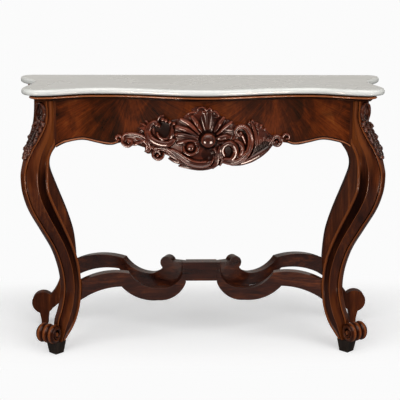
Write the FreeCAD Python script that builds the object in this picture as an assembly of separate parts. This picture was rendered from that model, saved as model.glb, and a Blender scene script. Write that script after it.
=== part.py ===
import FreeCAD, Part
import math
import os

# Pier table: serpentine marble slab on a mahogany frame with diagonal
# cabriole front legs, sawn rear legs and a four-armed scroll stretcher.
# Millimetres. Origin on the floor under the middle of the table, +X to the
# right, +Y to the wall, +Z up.

VEC = FreeCAD.Vector
UP = VEC(0, 0, 1)

# Overall sizes
TABLE_HEIGHT = 915.0
TABLE_DEPTH = 428.0
REAR_EAR_HALF_WIDTH = 628.0
FRONT_EAR_HALF_WIDTH = 589.0

# Clearance between a curved piece and the piece it is fixed to
GLUE_GAP = 0.3

# Marble slab
MARBLE_THICKNESS = 20.0
MARBLE_EDGE_ROUND = 8.5
MARBLE_BOTTOM = TABLE_HEIGHT - MARBLE_THICKNESS
MARBLE_CENTRE_Y = -TABLE_DEPTH / 2
MARBLE_RECESS_Y = MARBLE_CENTRE_Y + 64.0
MARBLE_EAR_Y = MARBLE_CENTRE_Y + 6.0
MARBLE_BACK_Y = TABLE_DEPTH / 2
RECESS_START_X = 320.0
RECESS_END_X = 350.0
FRONT_EAR_RADIUS = 60.0
REAR_EAR_RADIUS = 42.0
WAIST_HALF_WIDTH = FRONT_EAR_HALF_WIDTH - 24.0
WAIST_Y = 10.0
FRONT_EAR_X = FRONT_EAR_HALF_WIDTH - FRONT_EAR_RADIUS
FRONT_EAR_CENTRE_Y = MARBLE_EAR_Y + FRONT_EAR_RADIUS
REAR_EAR_CENTRE_Y = MARBLE_BACK_Y - REAR_EAR_RADIUS
REAR_EAR_X = REAR_EAR_HALF_WIDTH - REAR_EAR_RADIUS

# Moulding under the marble
MOULDING_HEIGHT = 22.0
MOULDING_BOTTOM = MARBLE_BOTTOM - MOULDING_HEIGHT
MOULDING_TOP_INSET = 28.0
MOULDING_BOTTOM_INSET = 40.0
MOULDING_INNER_Y = MARBLE_RECESS_Y + 76.0
MOULDING_INNER_X = FRONT_EAR_X - (MOULDING_INNER_Y - FRONT_EAR_CENTRE_Y)

# Outlines are drawn for a frame that is this high; legs and stretcher stretch
# with the frame, the apron and its carving keep their size and rise with it
DRAWN_TOP = 873.0
HEIGHT_SHARE = MOULDING_BOTTOM / DRAWN_TOP
RISE = MOULDING_BOTTOM - DRAWN_TOP

# Wooden frame
FRAME_BACK_Y = MARBLE_BACK_Y - 6.0
APRON_JOINT_X = FRONT_EAR_X - 48.0
APRON_THICKNESS = 28.0
APRON_CENTRE_Y = MARBLE_CENTRE_Y + 50.0
APRON_RECESS_Y = MARBLE_RECESS_Y + 46.0
APRON_EAR_Y = MARBLE_EAR_Y + 68.0
BEAD_HEIGHT = 9.0
BEAD_PROJECTION = 5.0
BEAD_START_X = 279.0
SIDE_RAIL_THICKNESS = 24.0
SIDE_RAIL_DEPTH = 118.0
SIDE_RAIL_FRONT_X = FRONT_EAR_X - 16.0
SIDE_RAIL_REAR_X = REAR_EAR_HALF_WIDTH - 50.0
SIDE_RAIL_FLARE = SIDE_RAIL_REAR_X - SIDE_RAIL_FRONT_X
CORNER_BLOCK_BOTTOM = MOULDING_BOTTOM - 153.0
CORNER_BLOCK_SIDE = 20.0
CORNER_BLOCK_NOSE = 4.0
REAR_RAIL_THICKNESS = 22.0
REAR_RAIL_DEPTH = 120.0

# Front legs, in a vertical plane at 45 degrees. The axis runs through
# LEG_X, LEG_Y; "reach" is measured from it outwards along the diagonal.
LEG_X = 9.0 - FRONT_EAR_X
LEG_Y = MARBLE_EAR_Y + 72.0
SIDE_RAIL_FRONT_Y = LEG_Y + 39.0
LEG_ANGLE = 45.0
LEG_TOP_HALF_WIDTH = 26.0
LEG_BLOCK_BOTTOM = 790.0 * HEIGHT_SHARE
LEG_KNEE = 655.0 * HEIGHT_SHARE
LEG_FACE_HALF_WIDTH = 12.0
LEG_ARRIS_HALF_WIDTH = 28.0
LEG_INNER_HALF_WIDTH = 22.0
LEG_BEAD = 4.0
LEG_CHANNEL_DEPTH = 5.0
LEG_FLAT_SHARE = 0.46
LEG_OUTER = [(873, 10), (811, 11), (770, 31), (712, 70), (658, 92), (624, 96), (575, 90), (514, 67),
             (441, 22), (368, -23), (304, -48), (250, -59), (205, -59), (154, -46), (116, -30),
             (86, -26), (64, -20), (44, -14)]
LEG_INNER = [(873, -33), (780, -33), (735, -30), (706, -13), (676, 0), (624, 4), (575, 1), (520, -22),
             (441, -63), (368, -98), (304, -119), (250, -127), (205, -128), (154, -121), (116, -108),
             (86, -91), (64, -72), (44, -52)]
LEG_STATIONS = [873, 840, 806, 784, 762, 740, 716, 692, 664, 632, 600, 564, 524, 480, 436, 392, 350,
                310, 270, 232, 194, 160, 132, 108, 86, 66, 44]
TOE_REACH = 3.0
TOE_HEIGHT = 77.0 * HEIGHT_SHARE
TOE_RADIUS = 33.0
TOE_HALF_LENGTH = 33.0
TOE_GROOVE = 4.0
TOE_EYE_RADIUS = 13.0
TOE_EYE_PROJECTION = 5.0
FOOT_REACH = -29.0
FOOT_TOP_SIDE = 48.0
FOOT_BOTTOM_SIDE = 35.0
FOOT_HEIGHT = LEG_STATIONS[-1] * HEIGHT_SHARE

# Carved leaf and drop on the outward face of each front leg
CARVING_TOP = 866.0 * HEIGHT_SHARE
CARVING_BOTTOM = 688.0 * HEIGHT_SHARE
CARVING_RELIEF = 9.0
LEAF_END_HALF_WIDTH = 7.0
LEAF_SWELL = 11.0
DROP_END_HALF_WIDTH = 3.0
DROP_SWELL = 8.0

# Rear legs, sawn from board
# Outlines give the distance in from the rear ear, and the height
REAR_LEG_THICKNESS = 36.0
REAR_DISC_X = REAR_EAR_HALF_WIDTH - 56.0
REAR_DISC_Z = 84.0 * HEIGHT_SHARE
REAR_DISC_RADIUS = 40.5
REAR_LEG_FRONT_Y = FRAME_BACK_Y - REAR_LEG_THICKNESS
REAR_LEG_INNER = [(150, 873), (148, 725), (127, 680), (101, 642), (89, 598), (99, 556), (119, 503),
                  (147, 429), (159, 392), (169, 354), (176, 300), (179, 250), (176, 200), (162, 150),
                  (134, 104), (106, 76), (79, 54)]
REAR_LEG_OUTER = [(43, 873), (42, 800), (34, 740), (18, 690), (11, 640), (17, 590), (34, 530),
                  (60, 465), (86, 400), (107, 335), (120, 270), (123, 215), (114, 165), (79, 108)]
REAR_STEM = [(79, 58), (40, 58), (48, 20), (49, 0), (72, 0), (73, 20), (79, 58)]

# Stretcher
STRETCHER_THICKNESS = 34.0
BLOCK_HALF_LENGTH = 54.0
BLOCK_BOTTOM = 223.0 * HEIGHT_SHARE
BLOCK_TOP = 290.0 * HEIGHT_SHARE
BLOCK_FRONT_Y = -17.0
BLOCK_BACK_Y = 23.0
FRONT_ARM_INNER_Y = 0.0
FRONT_ARM_RUN = 88.0
FRONT_ARM_OUTER = (LEG_X + FRONT_ARM_RUN, LEG_Y + FRONT_ARM_RUN)
REAR_ARM_INNER_Y = 30.0
REAR_ARM_OUTER = (185.0 - REAR_EAR_HALF_WIDTH, REAR_LEG_FRONT_Y + REAR_LEG_THICKNESS / 2)
LEG_JOINT_BOTTOM = 80.0 * HEIGHT_SHARE
LEG_JOINT_TOP = 360.0 * HEIGHT_SHARE
# Arm outlines from the leg inwards: share of the arm's length, height
FRONT_ARM_LOWER = [(1.04, 146), (0.80, 200), (0.595, 211.5), (0.44, 168), (0.26, 156), (0.10, 170), (0, 223)]
FRONT_ARM_UPPER = [(1.04, 217), (0.76, 261), (0.52, 258), (0.39, 211), (0.225, 200), (0.10, 214), (0.034, 252)]
REAR_ARM_LOWER = [(1.04, 174), (0.80, 223), (0.595, 232), (0.44, 192), (0.29, 182), (0.10, 200), (0, 250)]
REAR_ARM_UPPER = [(1.04, 241), (0.80, 275), (0.555, 272.5), (0.43, 234), (0.335, 227), (0.25, 234), (0.19, 256)]
ARM_NECK_TOP = 280.0 * HEIGHT_SHARE
ARM_DISC_Z = 272.0 * HEIGHT_SHARE
ARM_DISC_SHARE = 0.157
ARM_DISC_RADIUS = 23.5

# Carved cartouche: outline of the ground, boss, shell, scrolls
CARTOUCHE_GROUND = 11.0
CARTOUCHE_RELIEF = 20.0
CARTOUCHE_LOWER = [(-275, 735), (-258, 716), (-228, 720), (-199, 727), (-190, 717), (-194, 701), (-170, 688),
                   (-144, 678), (-124, 692), (-110, 678), (-88, 666), (-66, 656), (-35, 648), (10, 646), (38, 649),
                   (67, 668), (100, 657), (145, 667), (188, 691), (226, 717), (254, 711), (266, 729)]
CARTOUCHE_UPPER = [(268, 746), (239, 751), (219, 765), (199, 787), (172, 803), (142, 796), (116, 800),
                   (90, 820), (52, 835), (20, 848), (-8, 858), (-30, 848), (-60, 824), (-85, 817),
                   (-106, 824), (-128, 826), (-152, 818), (-173, 796), (-186, 770), (-228, 764), (-262, 752)]
BOSS_X = 18.0
BOSS_Z = 747.0 + RISE
BOSS_RADIUS = 20.0
SHELL_RADIUS = 70.0
SHELL_LEFT_REACH = 25.0
SHELL_FLUTES = 8
SHELL_FIRST_ANGLE = 36.0
SHELL_LAST_ANGLE = 186.0
SCROLL_HALF_WIDTH = 7.0
LEFT_SCROLL = [(-172, 757), (-123, 735), (-87, 710), (-60, 684), (-25, 667), (11, 663), (32, 681), (35, 702)]
RIGHT_SCROLL = [(97, 783), (132, 786), (155, 756), (160, 720), (146, 694), (110, 674)]
FLUTE_TIP_RADIUS = 10.0
FLUTE_LIFT = 3.0
FLUTE_ROOT_RADIUS = 4.0
LEFT_RING = (-129.0, 777.0, 46.0, 25.0)
RIGHT_RING = (88.0, 705.0, 32.0, 16.0)
ROSETTE = (-40.0, 722.0, 21.0, 8.0)
LEFT_VOLUTE = (-147.0, 700.0, 17.0, 6.0)
RIGHT_VOLUTE = (245.0, 728.0, 15.0, 5.0)


def blend(start, end, share):
    """Half-cosine passage from start to end as share goes from 0 to 1."""
    return start + (end - start) * (1 - math.cos(math.pi * share)) / 2


def serpentine_y(x, centre_y, recess_y, ear_y):
    """Front line: bulge at the centre, recess, then forward again at the ear."""
    x = abs(x)
    if x < RECESS_START_X:
        return blend(centre_y, recess_y, x / RECESS_START_X)
    if x < RECESS_END_X:
        return recess_y
    return blend(recess_y, ear_y, (x - RECESS_END_X) / (FRONT_EAR_X - RECESS_END_X))


def spread(start, end, count):
    return [start + (end - start) * i / (count - 1) for i in range(count)]


def marble_half_line():
    """Right half of the slab's edge, centre of the front to the rear ear's widest point."""
    points = []
    for x in spread(0, FRONT_EAR_X, 17)[:-1]:
        points.append((x, serpentine_y(x, MARBLE_CENTRE_Y, MARBLE_RECESS_Y, MARBLE_EAR_Y)))
    for turn in spread(-90, 0, 7)[:-1]:
        angle = math.radians(turn)
        points.append((FRONT_EAR_X + FRONT_EAR_RADIUS * math.cos(angle),
                       FRONT_EAR_CENTRE_Y + FRONT_EAR_RADIUS * math.sin(angle)))
    for y in spread(FRONT_EAR_CENTRE_Y, WAIST_Y, 7)[:-1]:
        share = (y - FRONT_EAR_CENTRE_Y) / (WAIST_Y - FRONT_EAR_CENTRE_Y)
        points.append((blend(FRONT_EAR_HALF_WIDTH, WAIST_HALF_WIDTH, share), y))
    for y in spread(WAIST_Y, REAR_EAR_CENTRE_Y, 8):
        share = (y - WAIST_Y) / (REAR_EAR_CENTRE_Y - WAIST_Y)
        points.append((blend(WAIST_HALF_WIDTH, REAR_EAR_HALF_WIDTH, share), y))
    return points


def inset_line(points, inset):
    """The same line moved inwards, square to itself."""
    moved = []
    last = len(points) - 1
    for i, (x, y) in enumerate(points):
        before = points[max(i - 1, 0)]
        after = points[min(i + 1, last)]
        run_x = after[0] - before[0]
        run_y = after[1] - before[1]
        if i == 0:
            run_y = 0.0
        if i == last:
            run_x = 0.0
        length = math.hypot(run_x, run_y)
        moved.append((x - inset * run_y / length, y + inset * run_x / length))
    return moved


def both_sides(half_line):
    """Mirror a right-hand line and join the two into one, left end first."""
    left = [(-x, y) for x, y in reversed(half_line[1:])]
    return left + half_line


def spline(points):
    curve = Part.BSplineCurve()
    curve.interpolate(points)
    return curve.toShape()


def segment(start, end):
    return Part.LineSegment(start, end).toShape()


def arc(start, middle, end):
    return Part.Arc(start, middle, end).toShape()


def chain(points):
    """Straight edges through the points, in order."""
    return [segment(a, b) for a, b in zip(points[:-1], points[1:])]


def block(x0, x1, y0, y1, z0, z1):
    return Part.makeBox(x1 - x0, y1 - y0, z1 - z0, VEC(x0, y0, z0))


def slab(edges, direction):
    """Solid made by pushing a closed flat outline along a direction."""
    return Part.Face(Part.Wire(Part.__sortEdges__(edges))).extrude(direction)


def mirrored(shape):
    return shape.mirror(VEC(0, 0, 0), VEC(1, 0, 0))


def plan_strip(near, far, half_width):
    """Upright wall that follows the apron, from near to far in front of its face."""
    xs = spread(-half_width, half_width, 33)
    front = [VEC(x, apron_face_y(x) - far, 0) for x in xs]
    back = [VEC(x, apron_face_y(x) - near, 0) for x in xs]
    edges = [spline(front), spline(back), segment(front[0], back[0]), segment(front[-1], back[-1])]
    return slab(edges, UP * TABLE_HEIGHT)


def apron_face_y(x):
    return serpentine_y(x, APRON_CENTRE_Y, APRON_RECESS_Y, APRON_EAR_Y)


def upright(points):
    """Points of an elevation (x, z) set in front of the table."""
    return [VEC(x, -TABLE_DEPTH, z + RISE) for x, z in points]


def marble_top():
    line = both_sides(marble_half_line())
    edge = [VEC(x, y, MARBLE_BOTTOM) for x, y in line]
    corner = math.cos(math.radians(45)) * REAR_EAR_RADIUS
    right_back = VEC(REAR_EAR_X, MARBLE_BACK_Y, MARBLE_BOTTOM)
    left_back = VEC(-REAR_EAR_X, MARBLE_BACK_Y, MARBLE_BOTTOM)
    right_mid = VEC(REAR_EAR_X + corner, REAR_EAR_CENTRE_Y + corner, MARBLE_BOTTOM)
    left_mid = VEC(-REAR_EAR_X - corner, REAR_EAR_CENTRE_Y + corner, MARBLE_BOTTOM)
    edges = [spline(edge), arc(edge[-1], right_mid, right_back),
             segment(right_back, left_back), arc(left_back, left_mid, edge[0])]
    body = slab(edges, UP * MARBLE_THICKNESS)
    rounded = []
    for e in body.Edges:
        flat = abs(e.BoundBox.ZMax - e.BoundBox.ZMin) < 0.1
        if flat and e.BoundBox.YMin < MARBLE_BACK_Y - 1:
            rounded.append(e)
    return body.makeFillet(MARBLE_EDGE_ROUND, rounded)


def moulding_ring():
    """U-shaped cove moulding under the front and sides of the slab."""
    cove = MOULDING_BOTTOM_INSET - MOULDING_TOP_INSET
    steps = [(0.0, 0.0), (0.2, 0.0), (0.3, 0.2), (0.5, 0.62), (0.72, 0.86), (0.8, 1.0), (1.0, 1.0)]
    wires = []
    for drop, share in steps:
        z = MARBLE_BOTTOM - MOULDING_HEIGHT * drop
        half = inset_line(marble_half_line(), MOULDING_TOP_INSET + cove * share)
        line = [VEC(x, y, z) for x, y in both_sides(half)]
        path = [line[-1], VEC(line[-1].x, FRAME_BACK_Y, z), VEC(MOULDING_INNER_X, FRAME_BACK_Y, z),
                VEC(MOULDING_INNER_X, MOULDING_INNER_Y, z), VEC(-MOULDING_INNER_X, MOULDING_INNER_Y, z),
                VEC(-MOULDING_INNER_X, FRAME_BACK_Y, z), VEC(line[0].x, FRAME_BACK_Y, z), line[0]]
        wires.append(Part.Wire([spline(line)] + chain(path)))
    return Part.makeLoft(wires, True, True)


def front_mitre_region():
    """Everything in front of the two 45-degree mitre cuts."""
    far = REAR_EAR_HALF_WIDTH
    points = [(-MOULDING_INNER_X, MOULDING_INNER_Y), (MOULDING_INNER_X, MOULDING_INNER_Y),
              (MOULDING_INNER_X + far, MOULDING_INNER_Y - far),
              (-MOULDING_INNER_X - far, MOULDING_INNER_Y - far), (-MOULDING_INNER_X, MOULDING_INNER_Y)]
    return slab(chain([VEC(x, y, 0) for x, y in points]), UP * TABLE_HEIGHT)


def mouldings():
    ring = moulding_ring()
    region = front_mitre_region()
    sides = ring.cut(region)
    left, right = sorted(sides.Solids, key=lambda s: s.CenterOfMass.x)
    return ring.common(region), left, right


def apron_lower_line():
    """Scalloped lower edge from the centre to the right-hand leg."""
    return [(0, 676), (60, 684), (130, 700), (200, 716), (250, 728), (276, 727), (304, 720), (349, 727),
            (398, 738), (448, 732), (APRON_JOINT_X, 717)]


def lower_edge_curve(half_line, lift):
    points = [(x, z + lift) for x, z in half_line]
    return upright(both_sides(points))


def apron_front():
    lower = lower_edge_curve(apron_lower_line(), 0)
    top = [lower[-1], VEC(APRON_JOINT_X, -TABLE_DEPTH, MOULDING_BOTTOM),
           VEC(-APRON_JOINT_X, -TABLE_DEPTH, MOULDING_BOTTOM), lower[0]]
    board = slab([spline(lower)] + chain(top), VEC(0, TABLE_DEPTH, 0))
    return board.common(plan_strip(-APRON_THICKNESS, 0, APRON_JOINT_X))


def apron_bead():
    """Moulded bead along the right half of the scalloped edge."""
    line = apron_lower_line()
    low = lower_edge_curve(line, 0)
    high = lower_edge_curve(line, BEAD_HEIGHT)
    band = slab([spline(low), spline(high), segment(low[0], high[0]), segment(low[-1], high[-1])],
                VEC(0, TABLE_DEPTH, 0))
    bead = band.common(plan_strip(GLUE_GAP, BEAD_PROJECTION, APRON_JOINT_X))
    return bead.common(block(BEAD_START_X, APRON_JOINT_X, -TABLE_DEPTH, 0, 0, TABLE_HEIGHT))


def outline_reach(points, z):
    """Reach of a leg outline at a height, read from the smooth line through its points."""
    curve = Part.BSplineCurve()
    curve.interpolate([VEC(reach, 0, height * HEIGHT_SHARE) for height, reach in points])
    low = curve.FirstParameter
    high = curve.LastParameter
    for _ in range(40):
        middle = (low + high) / 2
        if curve.value(middle).z > z:
            low = middle
        else:
            high = middle
    return curve.value(low).x


def leg_face_half_width(z):
    """The carved outward face narrows from the top block to the knee."""
    if z > LEG_BLOCK_BOTTOM:
        return LEG_TOP_HALF_WIDTH
    if z < LEG_KNEE:
        return LEG_FACE_HALF_WIDTH
    return blend(LEG_FACE_HALF_WIDTH, LEG_TOP_HALF_WIDTH, (z - LEG_KNEE) / (LEG_BLOCK_BOTTOM - LEG_KNEE))


def leg_stations():
    return [z * HEIGHT_SHARE for z in LEG_STATIONS]


def leg_section(z):
    """Moulded cross-section: bead, groove, flat, arris, hollow, groove, bead."""
    outer = outline_reach(LEG_OUTER, z)
    inner = outline_reach(LEG_INNER, z)
    face = leg_face_half_width(z)
    arris = outer - LEG_FLAT_SHARE * (outer - inner)
    hollow = arris - inner
    middle = (LEG_ARRIS_HALF_WIDTH + LEG_INNER_HALF_WIDTH) / 2
    groove = LEG_BEAD / 2
    half = [(outer, face - LEG_BEAD / 2), (outer - LEG_BEAD / 2, face), (outer - LEG_BEAD, face),
            (outer - LEG_BEAD - groove, face - groove + 1), (arris, LEG_ARRIS_HALF_WIDTH),
            (arris - hollow / 4, middle - LEG_CHANNEL_DEPTH), (arris - hollow / 2, middle - LEG_CHANNEL_DEPTH),
            (inner + LEG_BEAD + groove, LEG_INNER_HALF_WIDTH - groove),
            (inner + LEG_BEAD, LEG_INNER_HALF_WIDTH), (inner + groove, LEG_INNER_HALF_WIDTH),
            (inner, LEG_INNER_HALF_WIDTH - groove)]
    other = [(reach, -across) for reach, across in reversed(half)]
    points = [VEC(reach, across, z) for reach, across in half + other]
    return Part.makePolygon(points + points[:1])


def on_diagonal(shape):
    """Turn a piece built along +X to the left front leg's diagonal."""
    shape.rotate(VEC(0, 0, 0), UP, 180 + LEG_ANGLE)
    shape.translate(VEC(LEG_X, LEG_Y, 0))
    return shape


def toe_scroll():
    """Ribbed roll with an eye at each end, lying across the foot."""
    groove_radius = TOE_RADIUS - TOE_GROOVE
    rib = 2 * TOE_HALF_LENGTH / 3
    eye = TOE_HALF_LENGTH + TOE_EYE_PROJECTION
    edges = chain([VEC(0, -TOE_HALF_LENGTH, groove_radius), VEC(0, -TOE_HALF_LENGTH, TOE_EYE_RADIUS),
                   VEC(0, -eye, TOE_EYE_RADIUS), VEC(0, -eye, 0), VEC(0, eye, 0),
                   VEC(0, eye, TOE_EYE_RADIUS), VEC(0, TOE_HALF_LENGTH, TOE_EYE_RADIUS),
                   VEC(0, TOE_HALF_LENGTH, groove_radius)])
    for start in (-TOE_HALF_LENGTH, -rib / 2, rib / 2):
        edges.append(arc(VEC(0, start, groove_radius), VEC(0, start + rib / 2, TOE_RADIUS),
                         VEC(0, start + rib, groove_radius)))
    profile = Part.Face(Part.Wire(Part.__sortEdges__(edges)))
    roll = profile.revolve(VEC(0, 0, 0), VEC(0, 1, 0), 360)
    roll.translate(VEC(TOE_REACH, 0, TOE_HEIGHT))
    return roll


def leg_corner_block():
    """Joint block behind the leg top, one face for the apron and one for the side rail."""
    apron_y = apron_face_y(APRON_JOINT_X)
    points = [(-APRON_JOINT_X, apron_y), (-APRON_JOINT_X, apron_y + APRON_THICKNESS),
              (-SIDE_RAIL_FRONT_X + SIDE_RAIL_THICKNESS, SIDE_RAIL_FRONT_Y),
              (-SIDE_RAIL_FRONT_X, SIDE_RAIL_FRONT_Y),
              (LEG_X - CORNER_BLOCK_NOSE, LEG_Y + CORNER_BLOCK_SIDE),
              (LEG_X + CORNER_BLOCK_SIDE, LEG_Y - CORNER_BLOCK_NOSE), (-APRON_JOINT_X, apron_y)]
    return slab(chain([VEC(x, y, CORNER_BLOCK_BOTTOM) for x, y in points]),
                UP * (MOULDING_BOTTOM - CORNER_BLOCK_BOTTOM))


def front_leg():
    body = Part.makeLoft([leg_section(z) for z in leg_stations()], True, False)
    body = on_diagonal(body.fuse(toe_scroll()))
    return body.fuse(leg_corner_block())


def foot_block():
    wires = []
    for side, z in ((FOOT_BOTTOM_SIDE, 0.0), (FOOT_TOP_SIDE, FOOT_HEIGHT)):
        half = side / 2
        corners = [(half, half), (-half, half), (-half, -half), (half, -half), (half, half)]
        wires.append(Part.makePolygon([VEC(FOOT_REACH + a, b, z) for a, b in corners]))
    return on_diagonal(Part.makeLoft(wires, True, True))


def carving_half_width(z):
    """A long leaf above, then a narrower drop that ends in a point."""
    if z > LEG_BLOCK_BOTTOM:
        share = (z - LEG_BLOCK_BOTTOM) / (CARVING_TOP - LEG_BLOCK_BOTTOM)
        return LEAF_END_HALF_WIDTH + LEAF_SWELL * math.sin(math.pi * share)
    share = (z - CARVING_BOTTOM) / (LEG_BLOCK_BOTTOM - CARVING_BOTTOM)
    return DROP_END_HALF_WIDTH + DROP_SWELL * math.sin(math.pi * share)


def leg_carving():
    wires = []
    stations = [z for z in leg_stations() if CARVING_BOTTOM < z < CARVING_TOP]
    for z in [CARVING_TOP] + stations + [CARVING_BOTTOM]:
        back = outline_reach(LEG_OUTER, z) + GLUE_GAP
        half = carving_half_width(z)
        crest = back + CARVING_RELIEF
        edge = back + CARVING_RELIEF / 3
        section = [(back, -half), (edge, -half), (crest, -half / 2), (crest, half / 2), (edge, half),
                   (back, half), (back, -half)]
        wires.append(Part.makePolygon([VEC(reach, across, z) for reach, across in section]))
    return on_diagonal(Part.makeLoft(wires, True, False))


def rear_outline(points, y, gap=0.0):
    """Left rear leg's outline at a depth, from distances in from the ear."""
    return [VEC(inset + gap - REAR_EAR_HALF_WIDTH, y, z * HEIGHT_SHARE) for inset, z in points]


def rear_leg_board(gap, front_y, back_y):
    """Sawn S-board of the left rear leg; gap grows it at its inner edge."""
    inner = rear_outline(REAR_LEG_INNER, front_y, gap)
    outer = rear_outline(REAR_LEG_OUTER, front_y)
    centre = VEC(-REAR_DISC_X, front_y, REAR_DISC_Z)
    edges = [spline(inner), spline(outer)] + chain([inner[-1], centre, outer[-1]])
    edges.append(segment(inner[0], outer[0]))
    return slab(edges, VEC(0, back_y - front_y, 0))


def rear_leg():
    board = rear_leg_board(0, REAR_LEG_FRONT_Y, FRAME_BACK_Y)
    across = VEC(0, 1, 0)
    disc = Part.makeCylinder(REAR_DISC_RADIUS, REAR_LEG_THICKNESS,
                             VEC(-REAR_DISC_X, REAR_LEG_FRONT_Y, REAR_DISC_Z), across)
    stem = slab(chain(rear_outline(REAR_STEM, REAR_LEG_FRONT_Y)), across * REAR_LEG_THICKNESS)
    return board.fuse([disc, stem])


def arm_body(length, lower, upper, wall_top):
    """Scroll board: arch from the leg, cusp, dip, then the upturned inner end."""
    low, high = [[VEC(share * length, 0, z * HEIGHT_SHARE) for share, z in outline]
                 for outline in (lower, upper)]
    edges = [arc(*line[i:i + 3]) for line in (low, high) for i in (0, 2, 4)]
    edges += chain([low[-1], VEC(0, 0, wall_top), VEC(high[-1].x, 0, wall_top), high[-1]])
    edges += chain([low[0], high[0]])
    body = slab(edges, VEC(0, STRETCHER_THICKNESS, 0))
    body.translate(VEC(0, -STRETCHER_THICKNESS / 2, 0))
    return body


def along_arm(shape, inner_y, outer):
    """Set a piece built along +X on the line from the block to a left leg."""
    run_x = outer[0] + BLOCK_HALF_LENGTH
    run_y = outer[1] - inner_y
    shape.rotate(VEC(0, 0, 0), UP, math.degrees(math.atan2(run_y, run_x)))
    shape.translate(VEC(-BLOCK_HALF_LENGTH, inner_y, 0))
    return shape


def arm_length(inner_y, outer):
    return math.hypot(outer[0] + BLOCK_HALF_LENGTH, outer[1] - inner_y)


def block_end_region():
    """The space right of the block's left end, which the arms stop at."""
    return block(-BLOCK_HALF_LENGTH, TABLE_DEPTH, -TABLE_DEPTH, TABLE_DEPTH, 0, TABLE_HEIGHT)


def front_arm():
    body = arm_body(arm_length(FRONT_ARM_INNER_Y, FRONT_ARM_OUTER), FRONT_ARM_LOWER, FRONT_ARM_UPPER, BLOCK_TOP)
    body = along_arm(body, FRONT_ARM_INNER_Y, FRONT_ARM_OUTER)
    heights = [z for z in leg_stations() if LEG_JOINT_BOTTOM < z < LEG_JOINT_TOP]
    line = [VEC(outline_reach(LEG_INNER, z) - GLUE_GAP, -TABLE_DEPTH, z) for z in heights]
    far = [line[-1], VEC(TABLE_DEPTH, -TABLE_DEPTH, line[-1].z), VEC(TABLE_DEPTH, -TABLE_DEPTH, line[0].z), line[0]]
    leg_side = on_diagonal(slab([spline(line)] + chain(far), VEC(0, 2 * TABLE_DEPTH, 0)))
    return body.cut(leg_side).cut(block_end_region())


def rear_arm():
    length = arm_length(REAR_ARM_INNER_Y, REAR_ARM_OUTER)
    body = arm_body(length, REAR_ARM_LOWER, REAR_ARM_UPPER, ARM_NECK_TOP)
    half = STRETCHER_THICKNESS / 2
    disc_x = ARM_DISC_SHARE * length
    disc = Part.makeCylinder(ARM_DISC_RADIUS, STRETCHER_THICKNESS, VEC(disc_x, -half, ARM_DISC_Z), VEC(0, 1, 0))
    body = body.fuse(disc)
    body = along_arm(body, REAR_ARM_INNER_Y, REAR_ARM_OUTER)
    front_length = arm_length(FRONT_ARM_INNER_Y, FRONT_ARM_OUTER)
    front_side = along_arm(block(-half, front_length, -half, half, 0, TABLE_HEIGHT),
                           FRONT_ARM_INNER_Y, FRONT_ARM_OUTER)
    leg_side = rear_leg_board(GLUE_GAP, 0, FRAME_BACK_Y + half)
    return body.cut(leg_side).cut(front_side).cut(block_end_region())


def side_rail():
    """Hollow-fronted rail of the left side, between the two legs."""
    ys = spread(SIDE_RAIL_FRONT_Y, REAR_LEG_FRONT_Y, 9)
    span = REAR_LEG_FRONT_Y - SIDE_RAIL_FRONT_Y
    bottom = MOULDING_BOTTOM - SIDE_RAIL_DEPTH
    outer = [VEC(-SIDE_RAIL_FRONT_X - SIDE_RAIL_FLARE * ((y - ys[0]) / span) ** 2, y, bottom) for y in ys]
    inner = [p + VEC(SIDE_RAIL_THICKNESS, 0, 0) for p in outer]
    edges = [spline(outer), spline(inner), segment(outer[0], inner[0]), segment(outer[-1], inner[-1])]
    return slab(edges, UP * SIDE_RAIL_DEPTH)


def rear_rail():
    front = FRAME_BACK_Y - REAR_RAIL_THICKNESS
    post = REAR_EAR_HALF_WIDTH - REAR_LEG_INNER[0][0]
    rail = block(-post, post, front, FRAME_BACK_Y, MOULDING_BOTTOM - REAR_RAIL_DEPTH, MOULDING_BOTTOM)
    top = block(-MOULDING_INNER_X, MOULDING_INNER_X, front, FRAME_BACK_Y, MOULDING_BOTTOM, MARBLE_BOTTOM)
    return rail.fuse(top)


def stretcher_block():
    return block(-BLOCK_HALF_LENGTH, BLOCK_HALF_LENGTH, BLOCK_FRONT_Y, BLOCK_BACK_Y, BLOCK_BOTTOM, BLOCK_TOP)


def face_column(radius, x, z):
    return Part.makeCylinder(radius, TABLE_DEPTH, VEC(x, -TABLE_DEPTH, z + RISE), VEC(0, 1, 0))


def ring(size):
    x, z, outer, inner = size
    return face_column(outer, x, z).cut(face_column(inner, x, z))


def ribbon(points):
    """Flat scroll of even width along a line in the elevation."""
    one = upright(inset_line(points, SCROLL_HALF_WIDTH))
    two = upright(inset_line(points, -SCROLL_HALF_WIDTH))
    edges = [spline(one), spline(two), segment(one[0], two[0]), segment(one[-1], two[-1])]
    return slab(edges, VEC(0, TABLE_DEPTH, 0))


def flute(angle):
    """One rounded rib of the shell, wider at the rim."""
    run = VEC(math.cos(math.radians(angle)), 0, math.sin(math.radians(angle)))
    root = VEC(BOSS_X, 0, BOSS_Z)
    tip = root + run * (SHELL_RADIUS + SHELL_LEFT_REACH * max(0.0, -run.x))
    root.y = apron_face_y(root.x) - CARTOUCHE_GROUND - FLUTE_LIFT
    tip.y = apron_face_y(tip.x) - CARTOUCHE_GROUND - FLUTE_LIFT
    length = (tip - root).Length
    shoulder = VEC(FLUTE_TIP_RADIUS, 0, length)
    end = VEC(0, 0, length + FLUTE_TIP_RADIUS)
    bend = VEC(FLUTE_TIP_RADIUS * math.sin(math.pi / 4), 0, length + FLUTE_TIP_RADIUS * math.sin(math.pi / 4))
    edges = chain([end, VEC(0, 0, 0), VEC(FLUTE_ROOT_RADIUS, 0, 0), shoulder]) + [arc(shoulder, bend, end)]
    rib = Part.Face(Part.Wire(edges)).revolve(VEC(0, 0, 0), UP, 360)
    rib.Placement = FreeCAD.Placement(root, FreeCAD.Rotation(UP, tip - root))
    return rib


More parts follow.
